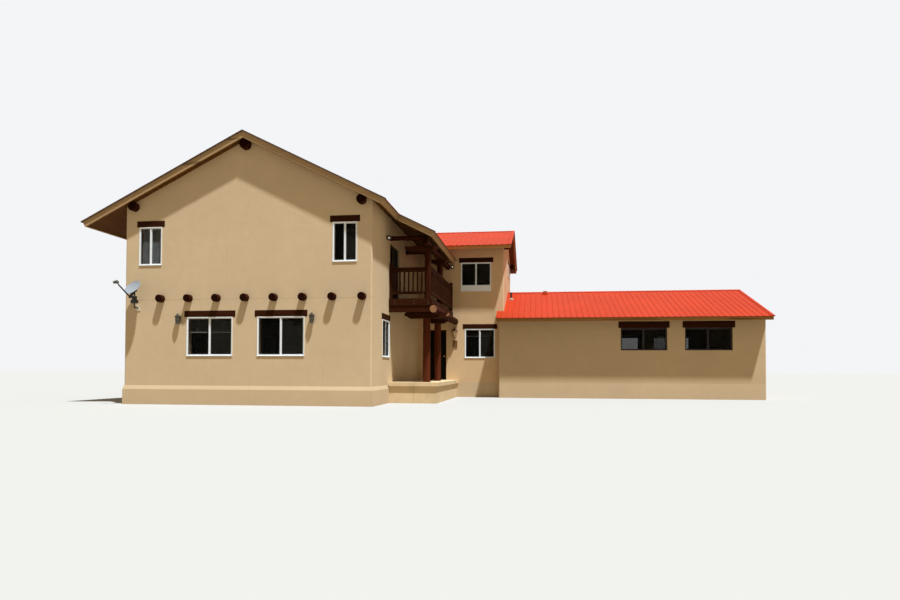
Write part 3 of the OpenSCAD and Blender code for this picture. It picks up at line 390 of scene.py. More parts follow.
M = {
    "front_stucco": stucco("stucco_main_front", STUCCO, joints=True),
    "stucco": stucco("stucco_walls", STUCCO),
    # Warmer stucco of the central block, as painted bounce light.
    "central_stucco_with_painted_bounce": stucco("stucco_central_with_painted_bounce", CENTRAL_STUCCO_WITH_PAINTED_BOUNCE),
    "wing_stucco": stucco("stucco_wing", WING_STUCCO),
    "plinth": stucco("stucco_base", shade(STUCCO, 0.98)),
    "concrete": concrete("porch_concrete", (0.74, 0.58, 0.36), joints=True),
    "floor": wood("floor_boards", (0.30, 0.17, 0.09), (0.16, 0.08, 0.04), 1),
    "dark_end": end_grain("log_end_dark", (0.019, 0.0032, 0.0010), (0.009, 0.0018, 0.0006)),
    "pale_end": end_grain("log_end_pale", (0.40, 0.20, 0.10), (0.22, 0.10, 0.05)),
    "soffit_y": wood("soffit_along_y", SOFFIT, SOFFIT_DARK, 1, 0.6, rings=5),
    "soffit_x": wood("soffit_along_x", SOFFIT, SOFFIT_DARK, 0, 0.6, rings=5),
    "deck": wood("raw_deck", (0.50, 0.36, 0.22), (0.34, 0.23, 0.13), 1, 0.85),
    "fascia": fascia_paint("fascia_paint", FASCIA),
    "central_fascia": fascia_paint("central_fascia_paint", CENTRAL_FASCIA),
    # Darker fascia of the wing, partly painted shade.
    "painted_shade_fascia": fascia_paint("painted_shade_fascia_paint", PAINTED_SHADE_FASCIA),
    "red": red_metal("red_roof_metal", RED),
    # A darker copy of the roof red for the folded edges and the underside: painted shade.
    "red_edge_painted_shade": red_metal("red_edge_metal_painted_shade", (0.24, 0.030, 0.012)),
    "edge_brown": painted("brown_edge_metal", (0.060, 0.028, 0.015), 0.5),
    "vinyl": painted("white_vinyl", (0.86, 0.91, 0.95), 0.35, speck=0.03),
    "bronze": painted("bronze_frame", (0.030, 0.020, 0.014), 0.42, specular=0.2),
    # Near-black panes paint the shade of the unlit rooms: faintly at the front, and as dark sheets
    # at the left and back.
    "glass": pane_glass("window_glass", (0.004, 0.004, 0.003), 0.35, 0.04),
    "rear_glass": pane_glass("rear_window_glass", (0.005, 0.005, 0.004), 0.97, 0.12),
    "wing_rear_glass": pane_glass("wing_rear_glass", (0.005, 0.006, 0.004), 0.55, 0.08),
    "gasket": painted("dark_gasket", (0.016, 0.015, 0.013), 0.6),
    "screen": insect_screen(),
    "door": wood("door_paint", (0.006, 0.007, 0.004), (0.004, 0.0045, 0.003), 2, 0.5, bump=0.0008),
    "brass": painted("old_brass", (0.55, 0.38, 0.16), 0.32, worn=(0.20, 0.12, 0.05), metallic=0.9),
    "lamp_metal": painted("lamp_metal", (0.055, 0.045, 0.038), 0.5, worn=(0.10, 0.05, 0.03)),
    "jar": pane_glass("jar_glass", (0.085, 0.080, 0.050), 1.0, 0.3),
    "lantern": painted("lantern_metal", (0.11, 0.045, 0.015), 0.45, worn=(0.20, 0.09, 0.03)),
    "lantern_glass": lamp_lens("lantern_glass", (0.50, 0.33, 0.16), 0.15),
    "plaque": painted("plaque_clay", (0.19, 0.088, 0.028), 0.55, worn=(0.28, 0.15, 0.06)),
    # The bowl's blue grey is darker than the dish's pale paint: painted shade on its face.
    "dish": painted("dish_paint_with_painted_shade", (0.27, 0.30, 0.34), 0.45, speck=0.04),
    "dish_dark": painted("dish_bracket", (0.022, 0.022, 0.022), 0.5),
    "plate": painted("dish_wall_plate", (0.72, 0.64, 0.47), 0.6),
    "pick_up": painted("dish_pick_up", (0.16, 0.18, 0.13), 0.5),
    "lens": lamp_lens("flood_lens", (0.85, 0.72, 0.52), 0.5),
    "reflector": painted("flood_reflector", (0.020, 0.016, 0.012), 0.5),
    "vent": painted("vent_dark", (0.035, 0.018, 0.012), 0.6),
    "vent_white": painted("vent_pale", (0.42, 0.27, 0.21), 0.6),
    "blind": painted("blind_slats", (0.16, 0.155, 0.14), 0.6, speck=0.03),
    "pale_blind": painted("pale_blind_slats", (0.86, 0.91, 0.96), 0.6, speck=0.02),
    "blind_rail": painted("blind_rail", (0.95, 0.93, 0.88), 0.5, speck=0.03),
}
# The upper_ logs are the darker copies, as painted shade.
for axis, (letter, run) in enumerate((("x", "along_x"), ("y", "along_y"), ("z", "upright"))):
    M["log_" + letter] = wood("log_" + run, LOG, LOG_DARK, axis, bump=0.003)
    M["upper_" + letter] = wood("painted_shade_log_" + run, PAINTED_SHADE_LOG, PAINTED_SHADE_LOG_DARK, axis, bump=0.003)
    M["timber_" + letter] = wood("timber_" + run, TIMBER, TIMBER_DARK, axis, 0.78,
                                 bump=0.002 if letter == "z" else 0.003)


def dress(node, *keys, pick=None):
    """Gives a CAD node its materials; pick chooses one of them by number for each face."""
    data = NODES[node].data
    data.materials.clear()
    for key in keys:
        data.materials.append(M[key])
    for poly in data.polygons:
        poly.material_index = pick(poly.center, poly.normal) if pick else 0


def islands(mesh):
    """Groups of faces that hang together, each with its box."""
    parent = list(range(len(mesh.vertices)))

    def root(i):
        while parent[i] != i:
            parent[i] = parent[parent[i]]
            i = parent[i]
        return i

    seen = {}
    for v in mesh.vertices:
        key = tuple(round(c, 5) for c in v.co)
        if key in seen:
            parent[root(v.index)] = root(seen[key])
        else:
            seen[key] = v.index
    for e in mesh.edges:
        parent[root(e.vertices[0])] = root(e.vertices[1])
    groups = {}
    for p in mesh.polygons:
        groups.setdefault(root(p.vertices[0]), []).append(p.index)
    out = []
    for faces in groups.values():
        pts = [mesh.vertices[i].co for f in faces for i in mesh.polygons[f].vertices]
        lo = Vector((min(p.x for p in pts), min(p.y for p in pts), min(p.z for p in pts)))
        hi = Vector((max(p.x for p in pts), max(p.y for p in pts), max(p.z for p in pts)))
        out.append((faces, lo, hi))
    return out


def dress_by_run(node, keys):
    """Gives each solid of a node the wood whose grain runs along its longest side.

    The balcony's logs take the last three materials, darker copies as painted shade.
    """
    mesh = NODES[node].data
    mesh.materials.clear()
    for key in keys:
        mesh.materials.append(M[key])
    for faces, lo, hi in islands(mesh):
        size = hi - lo
        axis = max(range(3), key=lambda i: size[i])
        # Logs under the balcony roof get the darker copies: painted shade.
        shaded = lo.z > PORCH_TOP_Z and lo.x > 4 and hi.x < 6
        for f in faces:
            mesh.polygons[f].material_index = axis + (3 if shaded else 0)


def on_edge(centre, normal):
    """1 for the folded edges and the underside of the metal, 0 for its sloping sheet."""
    return 1 if normal.z < 0.6 else 0


def on_nose(centre, normal):
    """1 for the sawn nose of the front corbel."""
    return 1 if centre.z < 4 and centre.x > 5.98 and centre.y < 3 else 0


def on_pane(centre, normal):
    """0 for front panes, 1 for the dark ones at the left and back, 2 for the wing's back ones."""
    if centre.x < -3.9:
        return 1
    if centre.y > 13:
        return 1 if centre.x < 7.3 else 2
    return 0


DISH_AT = Vector((-3.56, -0.30, 3.637))
DISH_TURN = Matrix.Rotation(math.radians(-14), 3, "Z") @ Matrix.Rotation(math.radians(52), 3, "X")
MAST_AT = (-3.59, -0.2)
BOWL_R = 0.279
BOWL_DEPTH = 0.066


def on_dish(centre, normal):
    """0 for the dish's bowl, 2 for its wall plate, 1 for its bracket, arm and pick-up."""
    if centre.z < 3.15 and centre.y > -0.02:
        return 2
    back = DISH_TURN.transposed()
    p = back @ (centre - DISH_AT)
    inside = math.hypot(p.x, p.y) < BOWL_R and -0.002 < p.z < BOWL_DEPTH
    return 0 if inside and abs((back @ normal).z) > 0.5 else 1


JARS = [(x, -0.095) for x in (-2.19, 2.19)]
LANTERN = (5.625, 7.35)
PIPE = (7.85, 9.44)
LOW_VENT = (9.34, 10.44)


def on_light(centre, normal):
    """1 for the jars of the front lights, 2 for the lantern's panes, 3 for the rest of it."""
    for x, y in JARS:
        if math.hypot(centre.x - x, centre.y - y) < 0.08 and 2.525 < centre.z < 2.758:
            return 1
    if math.hypot(centre.x - LANTERN[0], centre.y - LANTERN[1]) < 0.3 and 2.3 < centre.z < 3:
        return 2 if centre.z < 2.714 and abs(normal.z) < 0.5 and centre.y < 7.46 else 3
    return 0


# The last three are the darker copies, as painted shade.
LOGS = ("log_x", "log_y", "log_z", "upper_x", "upper_y", "upper_z")
WALLS = {"main": "stucco", "central": "central_stucco_with_painted_bounce", "wing": "wing_stucco"}
for n in NODES:
    if n.endswith("wall") or n.endswith("wall_lower") or n.endswith("wall_upper"):
        block = n.split("_")[0]
        dress(n, "front_stucco" if n.startswith("main_front") else WALLS[block])
PLAIN = {
    "foundation_walls": "plinth", "ground_floor": "concrete", "porch_slab": "concrete",
    "upper_floor": "floor", "main_fascia": "fascia", "central_fascia": "central_fascia",
    "wing_fascia": "painted_shade_fascia", "roof_decks": "deck", "roof_boards": "soffit_y",
    "balcony_floor": "timber_y", "balcony_railing": "timber_z",
    "house_window_frames": "vinyl", "wing_window_frames": "bronze",
    "balcony_door_frame": "bronze", "front_door_frame": "timber_z", "front_door": "door",
    "door_hardware": "brass", "hinge_pins": "brass", "door_plaque": "plaque",
}
for n, key in PLAIN.items():
    dress(n, key)
dress("main_roof_metal", "red", "edge_brown", pick=on_edge)
# The red roofs' folded edges and undersides take the darker red, as painted shade.
dress("central_roof_metal", "red", "red_edge_painted_shade", pick=on_edge)
dress("wing_roof_metal", "red", "red_edge_painted_shade", pick=on_edge)
for n in ("log_posts", "log_beams"):
    dress_by_run(n, LOGS)
# Vigas and roof logs take only the darker copies made as painted shade.
for n in ("vigas", "roof_logs"):
    dress_by_run(n, LOGS[3:] * 2)
dress("corbels", "timber_x", "pale_end", pick=on_nose)
dress("window_glass", "glass", "rear_glass", "wing_rear_glass", pick=on_pane)
dress("wall_lights", "lamp_metal", "jar", "lantern_glass", "lantern", pick=on_light)
dress("satellite_dish", "dish", "dish_dark", "plate", pick=on_dish)
dress("roof_vents", "vent", "vent_white", pick=lambda c, n: 1 if c.x > 8.5 else 0)


# Mesh helpers

def corners(u0, u1, v0, v1, c=0):
    """Corners of a rectangle, moved in by c."""
    return [(u0 + c, v0 + c), (u1 - c, v0 + c), (u1 - c, v1 - c), (u0 + c, v1 - c)]


def around(centre, axis):
    """A point and an axis as vectors, with two directions square to the axis."""
    centre, axis = Vector(centre), Vector(axis).normalized()
    side = axis.cross(Vector(UP) if abs(axis.z) < 0.9 else Vector((1, 0, 0))).normalized()
    return centre, axis, side, axis.cross(side)


class Builder:
    """Collects closed forms into one mesh, each face with the number of its material."""

    def __init__(self):
        self.verts = []
        self.faces = []
        self.mats = []
        self.uvs = []

    def add(self, verts, faces, mat=0, uvs=None):
        base = len(self.verts)
        self.verts.extend([tuple(v) for v in verts])
        self.uvs.extend(uvs or [(0.0, 0.0)] * len(verts))
        for f in faces:
            self.faces.append([base + i for i in f])
            self.mats.append(mat)

    def prism(self, low, high, mat=0):
        """Closed solid between two rings of points that run the same way round."""
        n = len(low)
        faces = [list(range(n))[::-1], [n + i for i in range(n)]]
        faces += [[i, (i + 1) % n, n + (i + 1) % n, n + i] for i in range(n)]
        self.add(list(low) + list(high), faces, mat)

    def box(self, lo, hi, mat=0):
        ring = corners(lo[0], hi[0], lo[1], hi[1])
        self.prism(*[[(x, y, z) for x, y in ring] for z in (lo[2], hi[2])], mat)

    def lathe(self, centre, axis, profile, n=32, mat=0):
        """Solid of revolution: profile is a list of radius and height along the axis."""
        centre, axis, side, up = around(centre, axis)
        verts, faces, uvs = [], [], []
        for r, h in profile:
            for i in range(n):
                t = 2 * math.pi * i / n
                verts.append(centre + axis * h + (side * math.cos(t) + up * math.sin(t)) * r)
                uvs.append((r * math.cos(t), r * math.sin(t)))
        for k in range(len(profile) - 1):
            for i in range(n):
                j = (i + 1) % n
                faces.append([k * n + i, k * n + j, (k + 1) * n + j, (k + 1) * n + i])
        faces.append(list(range(n))[::-1])
        faces.append([(len(profile) - 1) * n + i for i in range(n)])
        self.add(verts, faces, mat, uvs)

    def hoop(self, centre, axis, radius, thick, n=32, m=8, mat=0):
        """Round ring about an axis."""
        centre, axis, side, up = around(centre, axis)
        verts, faces = [], []
        for i in range(n):
            t = 2 * math.pi * i / n
            out = side * math.cos(t) + up * math.sin(t)
            for j in range(m):
                a = 2 * math.pi * j / m
                reach = radius + thick * math.cos(a)
                verts.append(centre + out * reach + axis * thick * math.sin(a))
        for i in range(n):
            for j in range(m):
                i2, j2 = (i + 1) % n, (j + 1) % m
                faces.append([i * m + j, i2 * m + j, i2 * m + j2, i * m + j2])
        self.add(verts, faces, mat)

    def make(self, name, keys, slot, body="house", smooth=0.0, bevel=0.0):
        """Makes the piece; smooth is the angle, in degrees, under which its edges shade round."""
        mesh = bpy.data.meshes.new(name)
        mesh.from_pydata(self.verts, [], self.faces)
        for key in keys:
            mesh.materials.append(M[key])
        mesh.polygons.foreach_set("material_index", self.mats)
        layer = mesh.uv_layers.new(name="UVMap")
        for loop in mesh.loops:
            layer.data[loop.index].uv = self.uvs[loop.vertex_index]
        bm = bmesh.new()
        bm.from_mesh(mesh)
        bmesh.ops.recalc_face_normals(bm, faces=bm.faces)
        if smooth:
            for f in bm.faces:
                f.smooth = True
            for e in bm.edges:
                e.smooth = len(e.link_faces) == 2 and e.calc_face_angle(0) < math.radians(smooth)
        bm.to_mesh(mesh)
        bm.free()
        obj = bpy.data.objects.new(name, mesh)
        bpy.context.scene.collection.objects.link(obj)
        if bevel:
            m = obj.modifiers.new("edges", "BEVEL")
            m.width = bevel
            m.segments = 2
            m.limit_method = "ANGLE"
        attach(obj, body)
        return obj


# Roofs: ribs of the metal sheets, and the boards under the eaves

def main_top(x):
    return RIDGE_Z - MAIN_PITCH * abs(x)


def central_top(y):
    return CENTRAL_RIDGE_Z - CENTRAL_PITCH * abs(y - CENTRAL_RIDGE_Y)


def wing_top(y):
    return WING_RIDGE_Z - WING_PITCH * abs(y - WING_MID_Y)


RIB_GAP = 0.2286
RIB_FOOT = 0.030
RIB_CREST = 0.011
RIB_START = TRIM_W + RIB_FOOT + 0.03


def rib(b, p, q, side):
    """Trapezoid rib from p to q, two points on the crest line; side points across it."""
    p, q, side = Vector(p), Vector(q), Vector(side)
    foot = -RIB_H - 0.002
    ring = [(-RIB_FOOT, foot), (RIB_FOOT, foot), (RIB_CREST, 0), (-RIB_CREST, 0)]
    b.prism(*[[end + side * u + Vector((0, 0, v)) for u, v in ring] for end in (p, q)])


def main_ribs():
    b = Builder()
    y = -RAKE_OVER + RIB_START
    while y < MAIN_L + RAKE_OVER - TRIM_W - RIB_FOOT:
        end = LEFT_EAVE_X + EAVE_GAP
        rib(b, (-CAP_W, y, main_top(CAP_W)), (end, y, main_top(end)), (0, 1, 0))
        if y < STEP_Y + TRIM_W + RIB_FOOT:
            end = FRONT_EAVE_X - EAVE_GAP
        elif y < CENTRAL_Y:
            end = BALCONY_EAVE_X - EAVE_GAP
        else:
            end = REAR_EAVE_X - EAVE_GAP
        if abs(y - CENTRAL_RIDGE_Y) < CENTRAL_HALF:
            end = min(end, (RIDGE_Z - central_top(y)) / MAIN_PITCH)
        rib(b, (CAP_W, y, main_top(CAP_W)), (end, y, main_top(end)), (0, 1, 0))
        y += RIB_GAP
    b.make("main_roof_ribs", ["red"], "red_metal")


def cross_ribs(name, x, x_end, top, span):
    """Ribs on both slopes from x down to x_end; span gives the Y of their two ends."""
    b = Builder()
    while x > x_end:
        for s in (-1, 1):
            y0, y1 = span(x, s)
            rib(b, (x, y0, top(y0)), (x, y1, top(y1)), (1, 0, 0))
        x -= RIB_GAP
    b.make(name, ["red"], "red_metal")


def central_span(x, s):
    """From the ridge cap to the eave, or to the valley where the main roof is higher."""
    run = min(CENTRAL_HALF - 0.005, (CENTRAL_RIDGE_Z - main_top(x)) / CENTRAL_PITCH)
    return CENTRAL_RIDGE_Y + s * CAP_W, CENTRAL_RIDGE_Y + s * run


def wing_span(x, s):
    """From the ridge cap, or from the central block's walls, to the eave."""
    y0 = WING_MID_Y + s * CAP_W
    if x < CENTRAL_X + RIB_FOOT:
        y0 = CENTRAL_Y if s < 0 else CENTRAL_REAR_Y
    return y0, WING_MID_Y + s * (WING_HALF - 0.005)


BOARD_W = 0.13
GABLE_BOARD_W = 0.122
BOARD_GAP = 0.006
BOARD_T = 0.007


def spread(s0, s1):
    """Edges of the boards that lie side by side from s0 to s1."""
    n = max(1, round(abs(s1 - s0) / BOARD_W))
    for i in range(n):
        yield s0 + (s1 - s0) * i / n + BOARD_GAP / 2, s0 + (s1 - s0) * (i + 1) / n - BOARD_GAP / 2


def under(top, s):
    """Height of the soffit below the roof that has this top."""
    return top(s) - (MAIN_SOFFIT if top == main_top else SMALL_SOFFIT)


def level_boards(b, axis, s0, s1, r0, r1, top):
    """Boards that run level along axis 0 X or 1 Y from r0 to r1, side by side from s0 to s1."""
    for a, c in spread(s0, s1):
        ring = [(s, under(top, s) - t) for s, t in corners(a, c, 0, BOARD_T)]
        b.prism(*[[(s, r, z) if axis else (r, s, z) for s, z in ring] for r in (r0, r1)])


def slope_boards(b, boards, axis, s0, s1, top):
    """Boards with these edges that run down a slope along axis 0 X or 1 Y from s0 to s1."""
    for a, c in boards:
        ring = corners(a, c, 0, BOARD_T)
        b.prism(*[[(r, s, z - t) if axis else (s, r, z - t) for r, t in ring]
                  for s, z in ((s0, under(top, s0)), (s1, under(top, s1)))])


def soffit_boards():
    b = Builder()
    front, rear = -RAKE_OVER + FASCIA_IN, MAIN_L + RAKE_OVER - FASCIA_IN
    inset = FASCIA_IN + 0.4 * MAIN_SOFFIT
    step = STEP_Y + FASCIA_IN
    level_boards(b, 1, LEFT_EAVE_X + inset, -MAIN_X, front, rear, main_top)
    level_boards(b, 1, MAIN_X, FRONT_EAVE_X - inset, front, step, main_top)
    level_boards(b, 1, MAIN_X, BALCONY_EAVE_X - inset, step, CENTRAL_Y, main_top)
    level_boards(b, 1, MAIN_X, REAR_EAVE_X - inset, CENTRAL_REAR_Y, rear, main_top)
    b.make("main_soffit_boards", ["soffit_y"], "soffit_boards")

    b = Builder()
    for y0, y1 in ((front, 0.0), (MAIN_L, rear)):
        for s in (-1, 1):
            slope_boards(b, spread(y0, y1), 0, 0.0, s * MAIN_X, main_top)
    cx1 = CENTRAL_RAKE_X - FASCIA_IN
    half = CENTRAL_HALF - FASCIA_IN
    y0, y1 = CENTRAL_RIDGE_Y - half, CENTRAL_RIDGE_Y + half
    level_boards(b, 0, y0, CENTRAL_Y, BALCONY_EAVE_X + EAVE_GAP, cx1, central_top)
    level_boards(b, 0, CENTRAL_REAR_Y, y1, REAR_EAVE_X + EAVE_GAP, cx1, central_top)
    wing_x = (WING_ROOF_X0 + FASCIA_IN, WING_ROOF_X1 - FASCIA_IN)
    wing_half = WING_HALF - FASCIA_IN
    level_boards(b, 0, WING_MID_Y - wing_half, WING_Y, *wing_x, wing_top)
    level_boards(b, 0, MAIN_L, WING_MID_Y + wing_half, *wing_x, wing_top)
    b.make("cross_soffit_boards", ["soffit_x"], "soffit_boards")

    b = Builder()
    for end in (CENTRAL_Y, CENTRAL_REAR_Y):
        slope_boards(b, spread(CENTRAL_X, CENTRAL_X + 2 * GABLE_BOARD_W), 1,
                     CENTRAL_RIDGE_Y, end, central_top)
    b.make("gable_soffit_boards", ["soffit_y"], "soffit_boards")


main_ribs()
cross_ribs("central_roof_ribs", CENTRAL_RAKE_X - RIB_START,
           (RIDGE_Z - CENTRAL_RIDGE_Z) / MAIN_PITCH + 0.5, central_top, central_span)
cross_ribs("wing_roof_ribs", WING_ROOF_X1 - RIB_START,
           WING_ROOF_X0 + TRIM_W + RIB_FOOT, wing_top, wing_span)
soffit_boards()


# Log ends: a sawn disc on each, a little domed at its rim

DISC = ((0.88, -0.004), (0.885, 0.002), (0.86, 0.005), (0.5, 0.006))
VIGA_X, VIGA_GAP, VIGA_OUT, VIGA_R = -2.795, 0.936, 0.185, 0.12
ROOF_LOG_OUT = 0.2


def log_ends():
    b = Builder()

    def end(centre, axis, r, mat=0):
        b.lathe(centre, axis, [(r * k, h) for k, h in DISC], mat=mat)

    for i in range(8):
        x = VIGA_X + VIGA_GAP * i
        end((x, -VIGA_OUT, SPLIT_Z), OUT, VIGA_R)
        end((x, MAIN_L + VIGA_OUT, SPLIT_Z), (0, 1, 0), VIGA_R)
    for x, z, r in ((0, 8.1211, 0.16), (-3.73, 6.2785, 0.14), (3.73, 6.2785, 0.14)):
        end((x, -ROOF_LOG_OUT, z), OUT, r)
        end((x, MAIN_L + ROOF_LOG_OUT, z), (0, 1, 0), r)
    for y in (7.65, 10.4, 13.15):
        end((7.82, y, central_top(y) - 0.2669), (1, 0, 0), 0.11)
    for y in (2.33, 5.0):
        end((5.33, y, 5.56), (1, 0, 0), 0.075)
    end((5.32, 1.95, 5.375), OUT, 0.11)
    end((5.622, 1.9, 3.118), OUT, 0.135, mat=1)
    b.make("log_ends", ["dark_end", "pale_end"], "log", smooth=40)


log_ends()


# Lintels: rough-hewn timbers in the place of the plain blocks

LINTEL_CELL = 0.055


def hewn_lintels():
    b = Builder()
    for k, (_, lo, hi) in enumerate(islands(NODES["lintels"].data)):
        size = hi - lo
        axis = 0 if size.x > size.y else 1
        counts = [max(2, round(s / LINTEL_CELL)) for s in size]
        index, verts, quads = {}, [], []

        def corner(i, j, l):
            if (i, j, l) in index:
                return index[i, j, l]
            f = [i / counts[0], j / counts[1], l / counts[2]]
            p = Vector([lo[a] + size[a] * f[a] for a in range(3)])
            inward = Vector([1 if f[a] == 0 else -1 if f[a] == 1 else 0 for a in range(3)])
            edges = sum(1 for a in inward if a)
            rough = 0.5 + 0.5 * noise.noise(Vector((p.x * 5 + k, p.y * 5, p.z * 11)))
            depth = 0.0015 + 0.007 * rough + (0.004 if edges > 1 else 0.0)
            index[i, j, l] = len(verts)
            verts.append(p + inward * depth)
            return index[i, j, l]

        for a in range(3):
            u, v = [c for c in range(3) if c != a]
            for level in (0, counts[a]):
                for i in range(counts[u]):
                    for j in range(counts[v]):
                        ring = []
                        for di, dj in ((0, 0), (1, 0), (1, 1), (0, 1)):
                            at = [0, 0, 0]
                            at[a], at[u], at[v] = level, i + di, j + dj
                            ring.append(corner(*at))
                        quads.append(ring)
        b.add(verts, quads, axis)
    piece = b.make("hewn_lintels", ["timber_x", "timber_y"], "dark_timber", smooth=50)
    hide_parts("lintels")


hewn_lintels()


# Windows: sill noses, dark gaskets, insect screens and two blinds

class Place:
    """A spot on a wall: u runs along the wall, d out of it, z up."""

    def __init__(self, at, out, half=0.0, height=0.0):
        self.at, self.out = Vector(at), Vector(out)
        self.along = Vector((-self.out.y, self.out.x, 0))
        self.half, self.height = half, height

    def point(self, u, d, z):
        return self.at + self.along * u + self.out * d + Vector((0, 0, z))

    def bar(self, b, u, d, z, mat=0, chamfer=0.0):
        """Block between two values each of u, d and z, with its outer edges taken off."""
        (u0, u1), (d0, d1), (z0, z1) = u, d, z
        back, front = [[self.point(x, y, h) for x, h in corners(u0, u1, z0, z1)]
                       for y in (d0, d1 - chamfer)]
        b.prism(back, front, mat)
        if chamfer:
            face = corners(u0, u1, z0, z1, chamfer)
            b.prism(front, [self.point(x, d1, h) for x, h in face], mat)

    def rim(self, b, u0, u1, z0, z1, d0, d1, w, mat=0):
        """Four mitred bars round an opening, sloping inwards from d1 to d0."""
        cuts = [[self.point(u, d0, z), self.point(u, d1, z), self.point(s, d0, t)]
                for (u, z), (s, t) in zip(corners(u0, u1, z0, z1), corners(u0, u1, z0, z1, w))]
        for i in range(4):
            b.prism(cuts[i], cuts[(i + 1) % 4], mat)


def window_place(lo, hi):
    """The foot of the outer face of the window that has this box."""
    mid, size = (lo + hi) / 2, hi - lo
    if size.x > size.y:
        s = -1 if lo.y < DOOR_WALL_Y else 1
        return Place((mid.x, lo.y if s < 0 else hi.y, lo.z), (0, s, 0), size.x / 2, size.z)
    s = -1 if mid.x < 0 else 1
    return Place((hi.x if s > 0 else lo.x, mid.y, lo.z), (s, 0, 0), size.y / 2, size.z)


FRAME_FACE = 0.020
SASH_EDGE = 0.052
MEET = 0.002
SASH_FACE = 0.032
PANE_FRONT = 0.020
SASH_STEP = 0.028
PANEL_H = 0.21
GASKET_LAP = 0.010
GASKET_W = 0.016
SCREEN_EDGE = 0.018


def window_trims(node, name, key, slot):
    """Gaskets, a nose under the frame, weep covers and screens of one node's windows.

    The upper left window of the front has lost its screen.
    """
    b, screens = Builder(), Builder()
    for _, lo, hi in islands(NODES[node].data):
        w = window_place(lo, hi)
        foot = FRAME_FACE
        if abs(lo.z - PANEL_WINDOW_Z) < 0.001 and lo.y < 8:
            foot += PANEL_H
        z0, z1 = foot + SASH_FACE, w.height - SASH_EDGE
        left = (-w.half + SASH_EDGE, MEET - SASH_FACE)
        right = (SASH_FACE - MEET, w.half - SASH_EDGE)
        lap, e = GASKET_LAP, SCREEN_EDGE
        for (u0, u1), back in ((left, PANE_FRONT), (right, PANE_FRONT + SASH_STEP)):
            w.rim(b, u0 - lap, u1 + lap, z0 - lap, z1 + lap,
                  -back - 0.001, -back + 0.010, GASKET_W, 1)
        if node == "balcony_door_frame":
            continue
        w.bar(b, (-w.half, w.half), (-0.004, 0.014), (-0.003, 0.012), chamfer=0.004)
        for u in (-0.55 * w.half, 0.55 * w.half):
            w.bar(b, (u - 0.02, u + 0.02), (-0.001, 0.004), (0.013, 0.019), chamfer=0.001)
        u0, u1 = right
        for u, z in (((u0 - e, u0), (z0 - e, z1 + e)), ((u1, u1 + e), (z0 - e, z1 + e)),
                     (right, (z0 - e, z0)), (right, (z1, z1 + e))):
            w.bar(b, u, (-0.034, -0.026), z, chamfer=0.002)
        if abs(w.at.x - BLIND_X[1]) > 0.01 or w.at.y > 1:
            w.bar(screens, right, (-0.031, -0.030), (z0, z1))
    b.make(name, [key, "gasket"], slot)
    if screens.verts:
        screens.make(name.replace("trims", "screens"), ["screen"], "bronze_frame")


BLIND_Y = 0.105
SLAT_GAP = 0.022


def blind(b, x, half, rail, top):
    """Slats behind a front window, from a bottom rail up to a head rail."""
    y = BLIND_Y
    count = round((top - rail) / SLAT_GAP)
    slat = ((-0.008, 0.0), (0.006, 0.016), (0.0065, 0.0175), (-0.0075, 0.0015))
    for i in range(count):
        z = rail + 0.02 + (top - rail - 0.02) * i / count
        b.prism(*[[(x + s * half, y + q, z + r) for q, r in slat] for s in (-1, 1)])
    b.box((x - half, y - 0.013, rail - 0.012), (x + half, y + 0.013, rail + 0.012), 1)
    b.box((x - half, y - 0.02, top), (x + half, y + 0.02, top + 0.035), 1)
    for u in (x - 0.6 * half, x + 0.6 * half):
        b.box((u - 0.001, y - 0.014, rail), (u + 0.001, y - 0.012, top), 1)


def blinds():
    """A half raised blind in the lower left window, and a closed one in the upper left window."""
    b = Builder()
    blind(b, BLIND_X[0], 0.70, 2.275, 2.69)
    b.make("raised_blind", ["blind", "blind_rail"], "white_vinyl")
    b = Builder()
    blind(b, BLIND_X[1], 0.33, 4.47, 5.57)
    b.make("closed_blind", ["pale_blind", "pale_blind"], "white_vinyl")


window_trims("house_window_frames", "house_window_trims", "vinyl", "white_vinyl")
window_trims("wing_window_frames", "wing_window_trims", "bronze", "bronze_frame")
window_trims("balcony_door_frame", "balcony_door_trims", "bronze", "bronze_frame")
blinds()


# Balcony and porch

def deck_boards():
    """Boards on the balcony floor, with open joints."""
    b = Builder()
    x = MAIN_X + 0.004
    while x < BALCONY_X - 0.05:
        end = min(x + 0.132, BALCONY_X - 0.002)
        b.box((x, BALCONY_Y + 0.002, BALCONY_Z - 0.002),
              (end, CENTRAL_Y - 0.002, BALCONY_Z + 0.006))
        x += 0.138
    b.make("balcony_deck_boards", ["timber_y"], "dark_timber", bevel=0.002)


def bolt_heads():
    """Carriage bolts that tie the header, the side rim and the posts."""
    b = Builder()
    head = [(0.017, -0.002), (0.017, 0.003), (0.012, 0.008), (0.004, 0.010)]
    for x in (4.25, 4.9, 5.4):
        for z in (3.32, 3.41):
            b.lathe((x, BALCONY_Y, z), OUT, head, 12)
    for y in (2.33, 3.4, 5.0, 6.6):
        b.lathe((BALCONY_X, y, 3.37), (1, 0, 0), head, 12)
    b.make("balcony_bolts", ["lamp_metal"], "light_metal", smooth=50)


def post_caps():
    """Low pyramids on the railing's end posts."""
    b = Builder()
    r, z = 0.055, 4.70
    for x, y in ((4.105, 2.33), (5.46, 7.445)):
        b.prism(*[[(x + k * i, y + k * j, h) for i, j in corners(-1, 1, -1, 1)]
                  for k, h in ((r, z - 0.001), (0.2 * r, z + 0.028))])
    b.make("railing_post_caps", ["timber_z"], "dark_timber", bevel=0.003)


deck_boards()
bolt_heads()
post_caps()


# Front door: mouldings in its panels, and a threshold

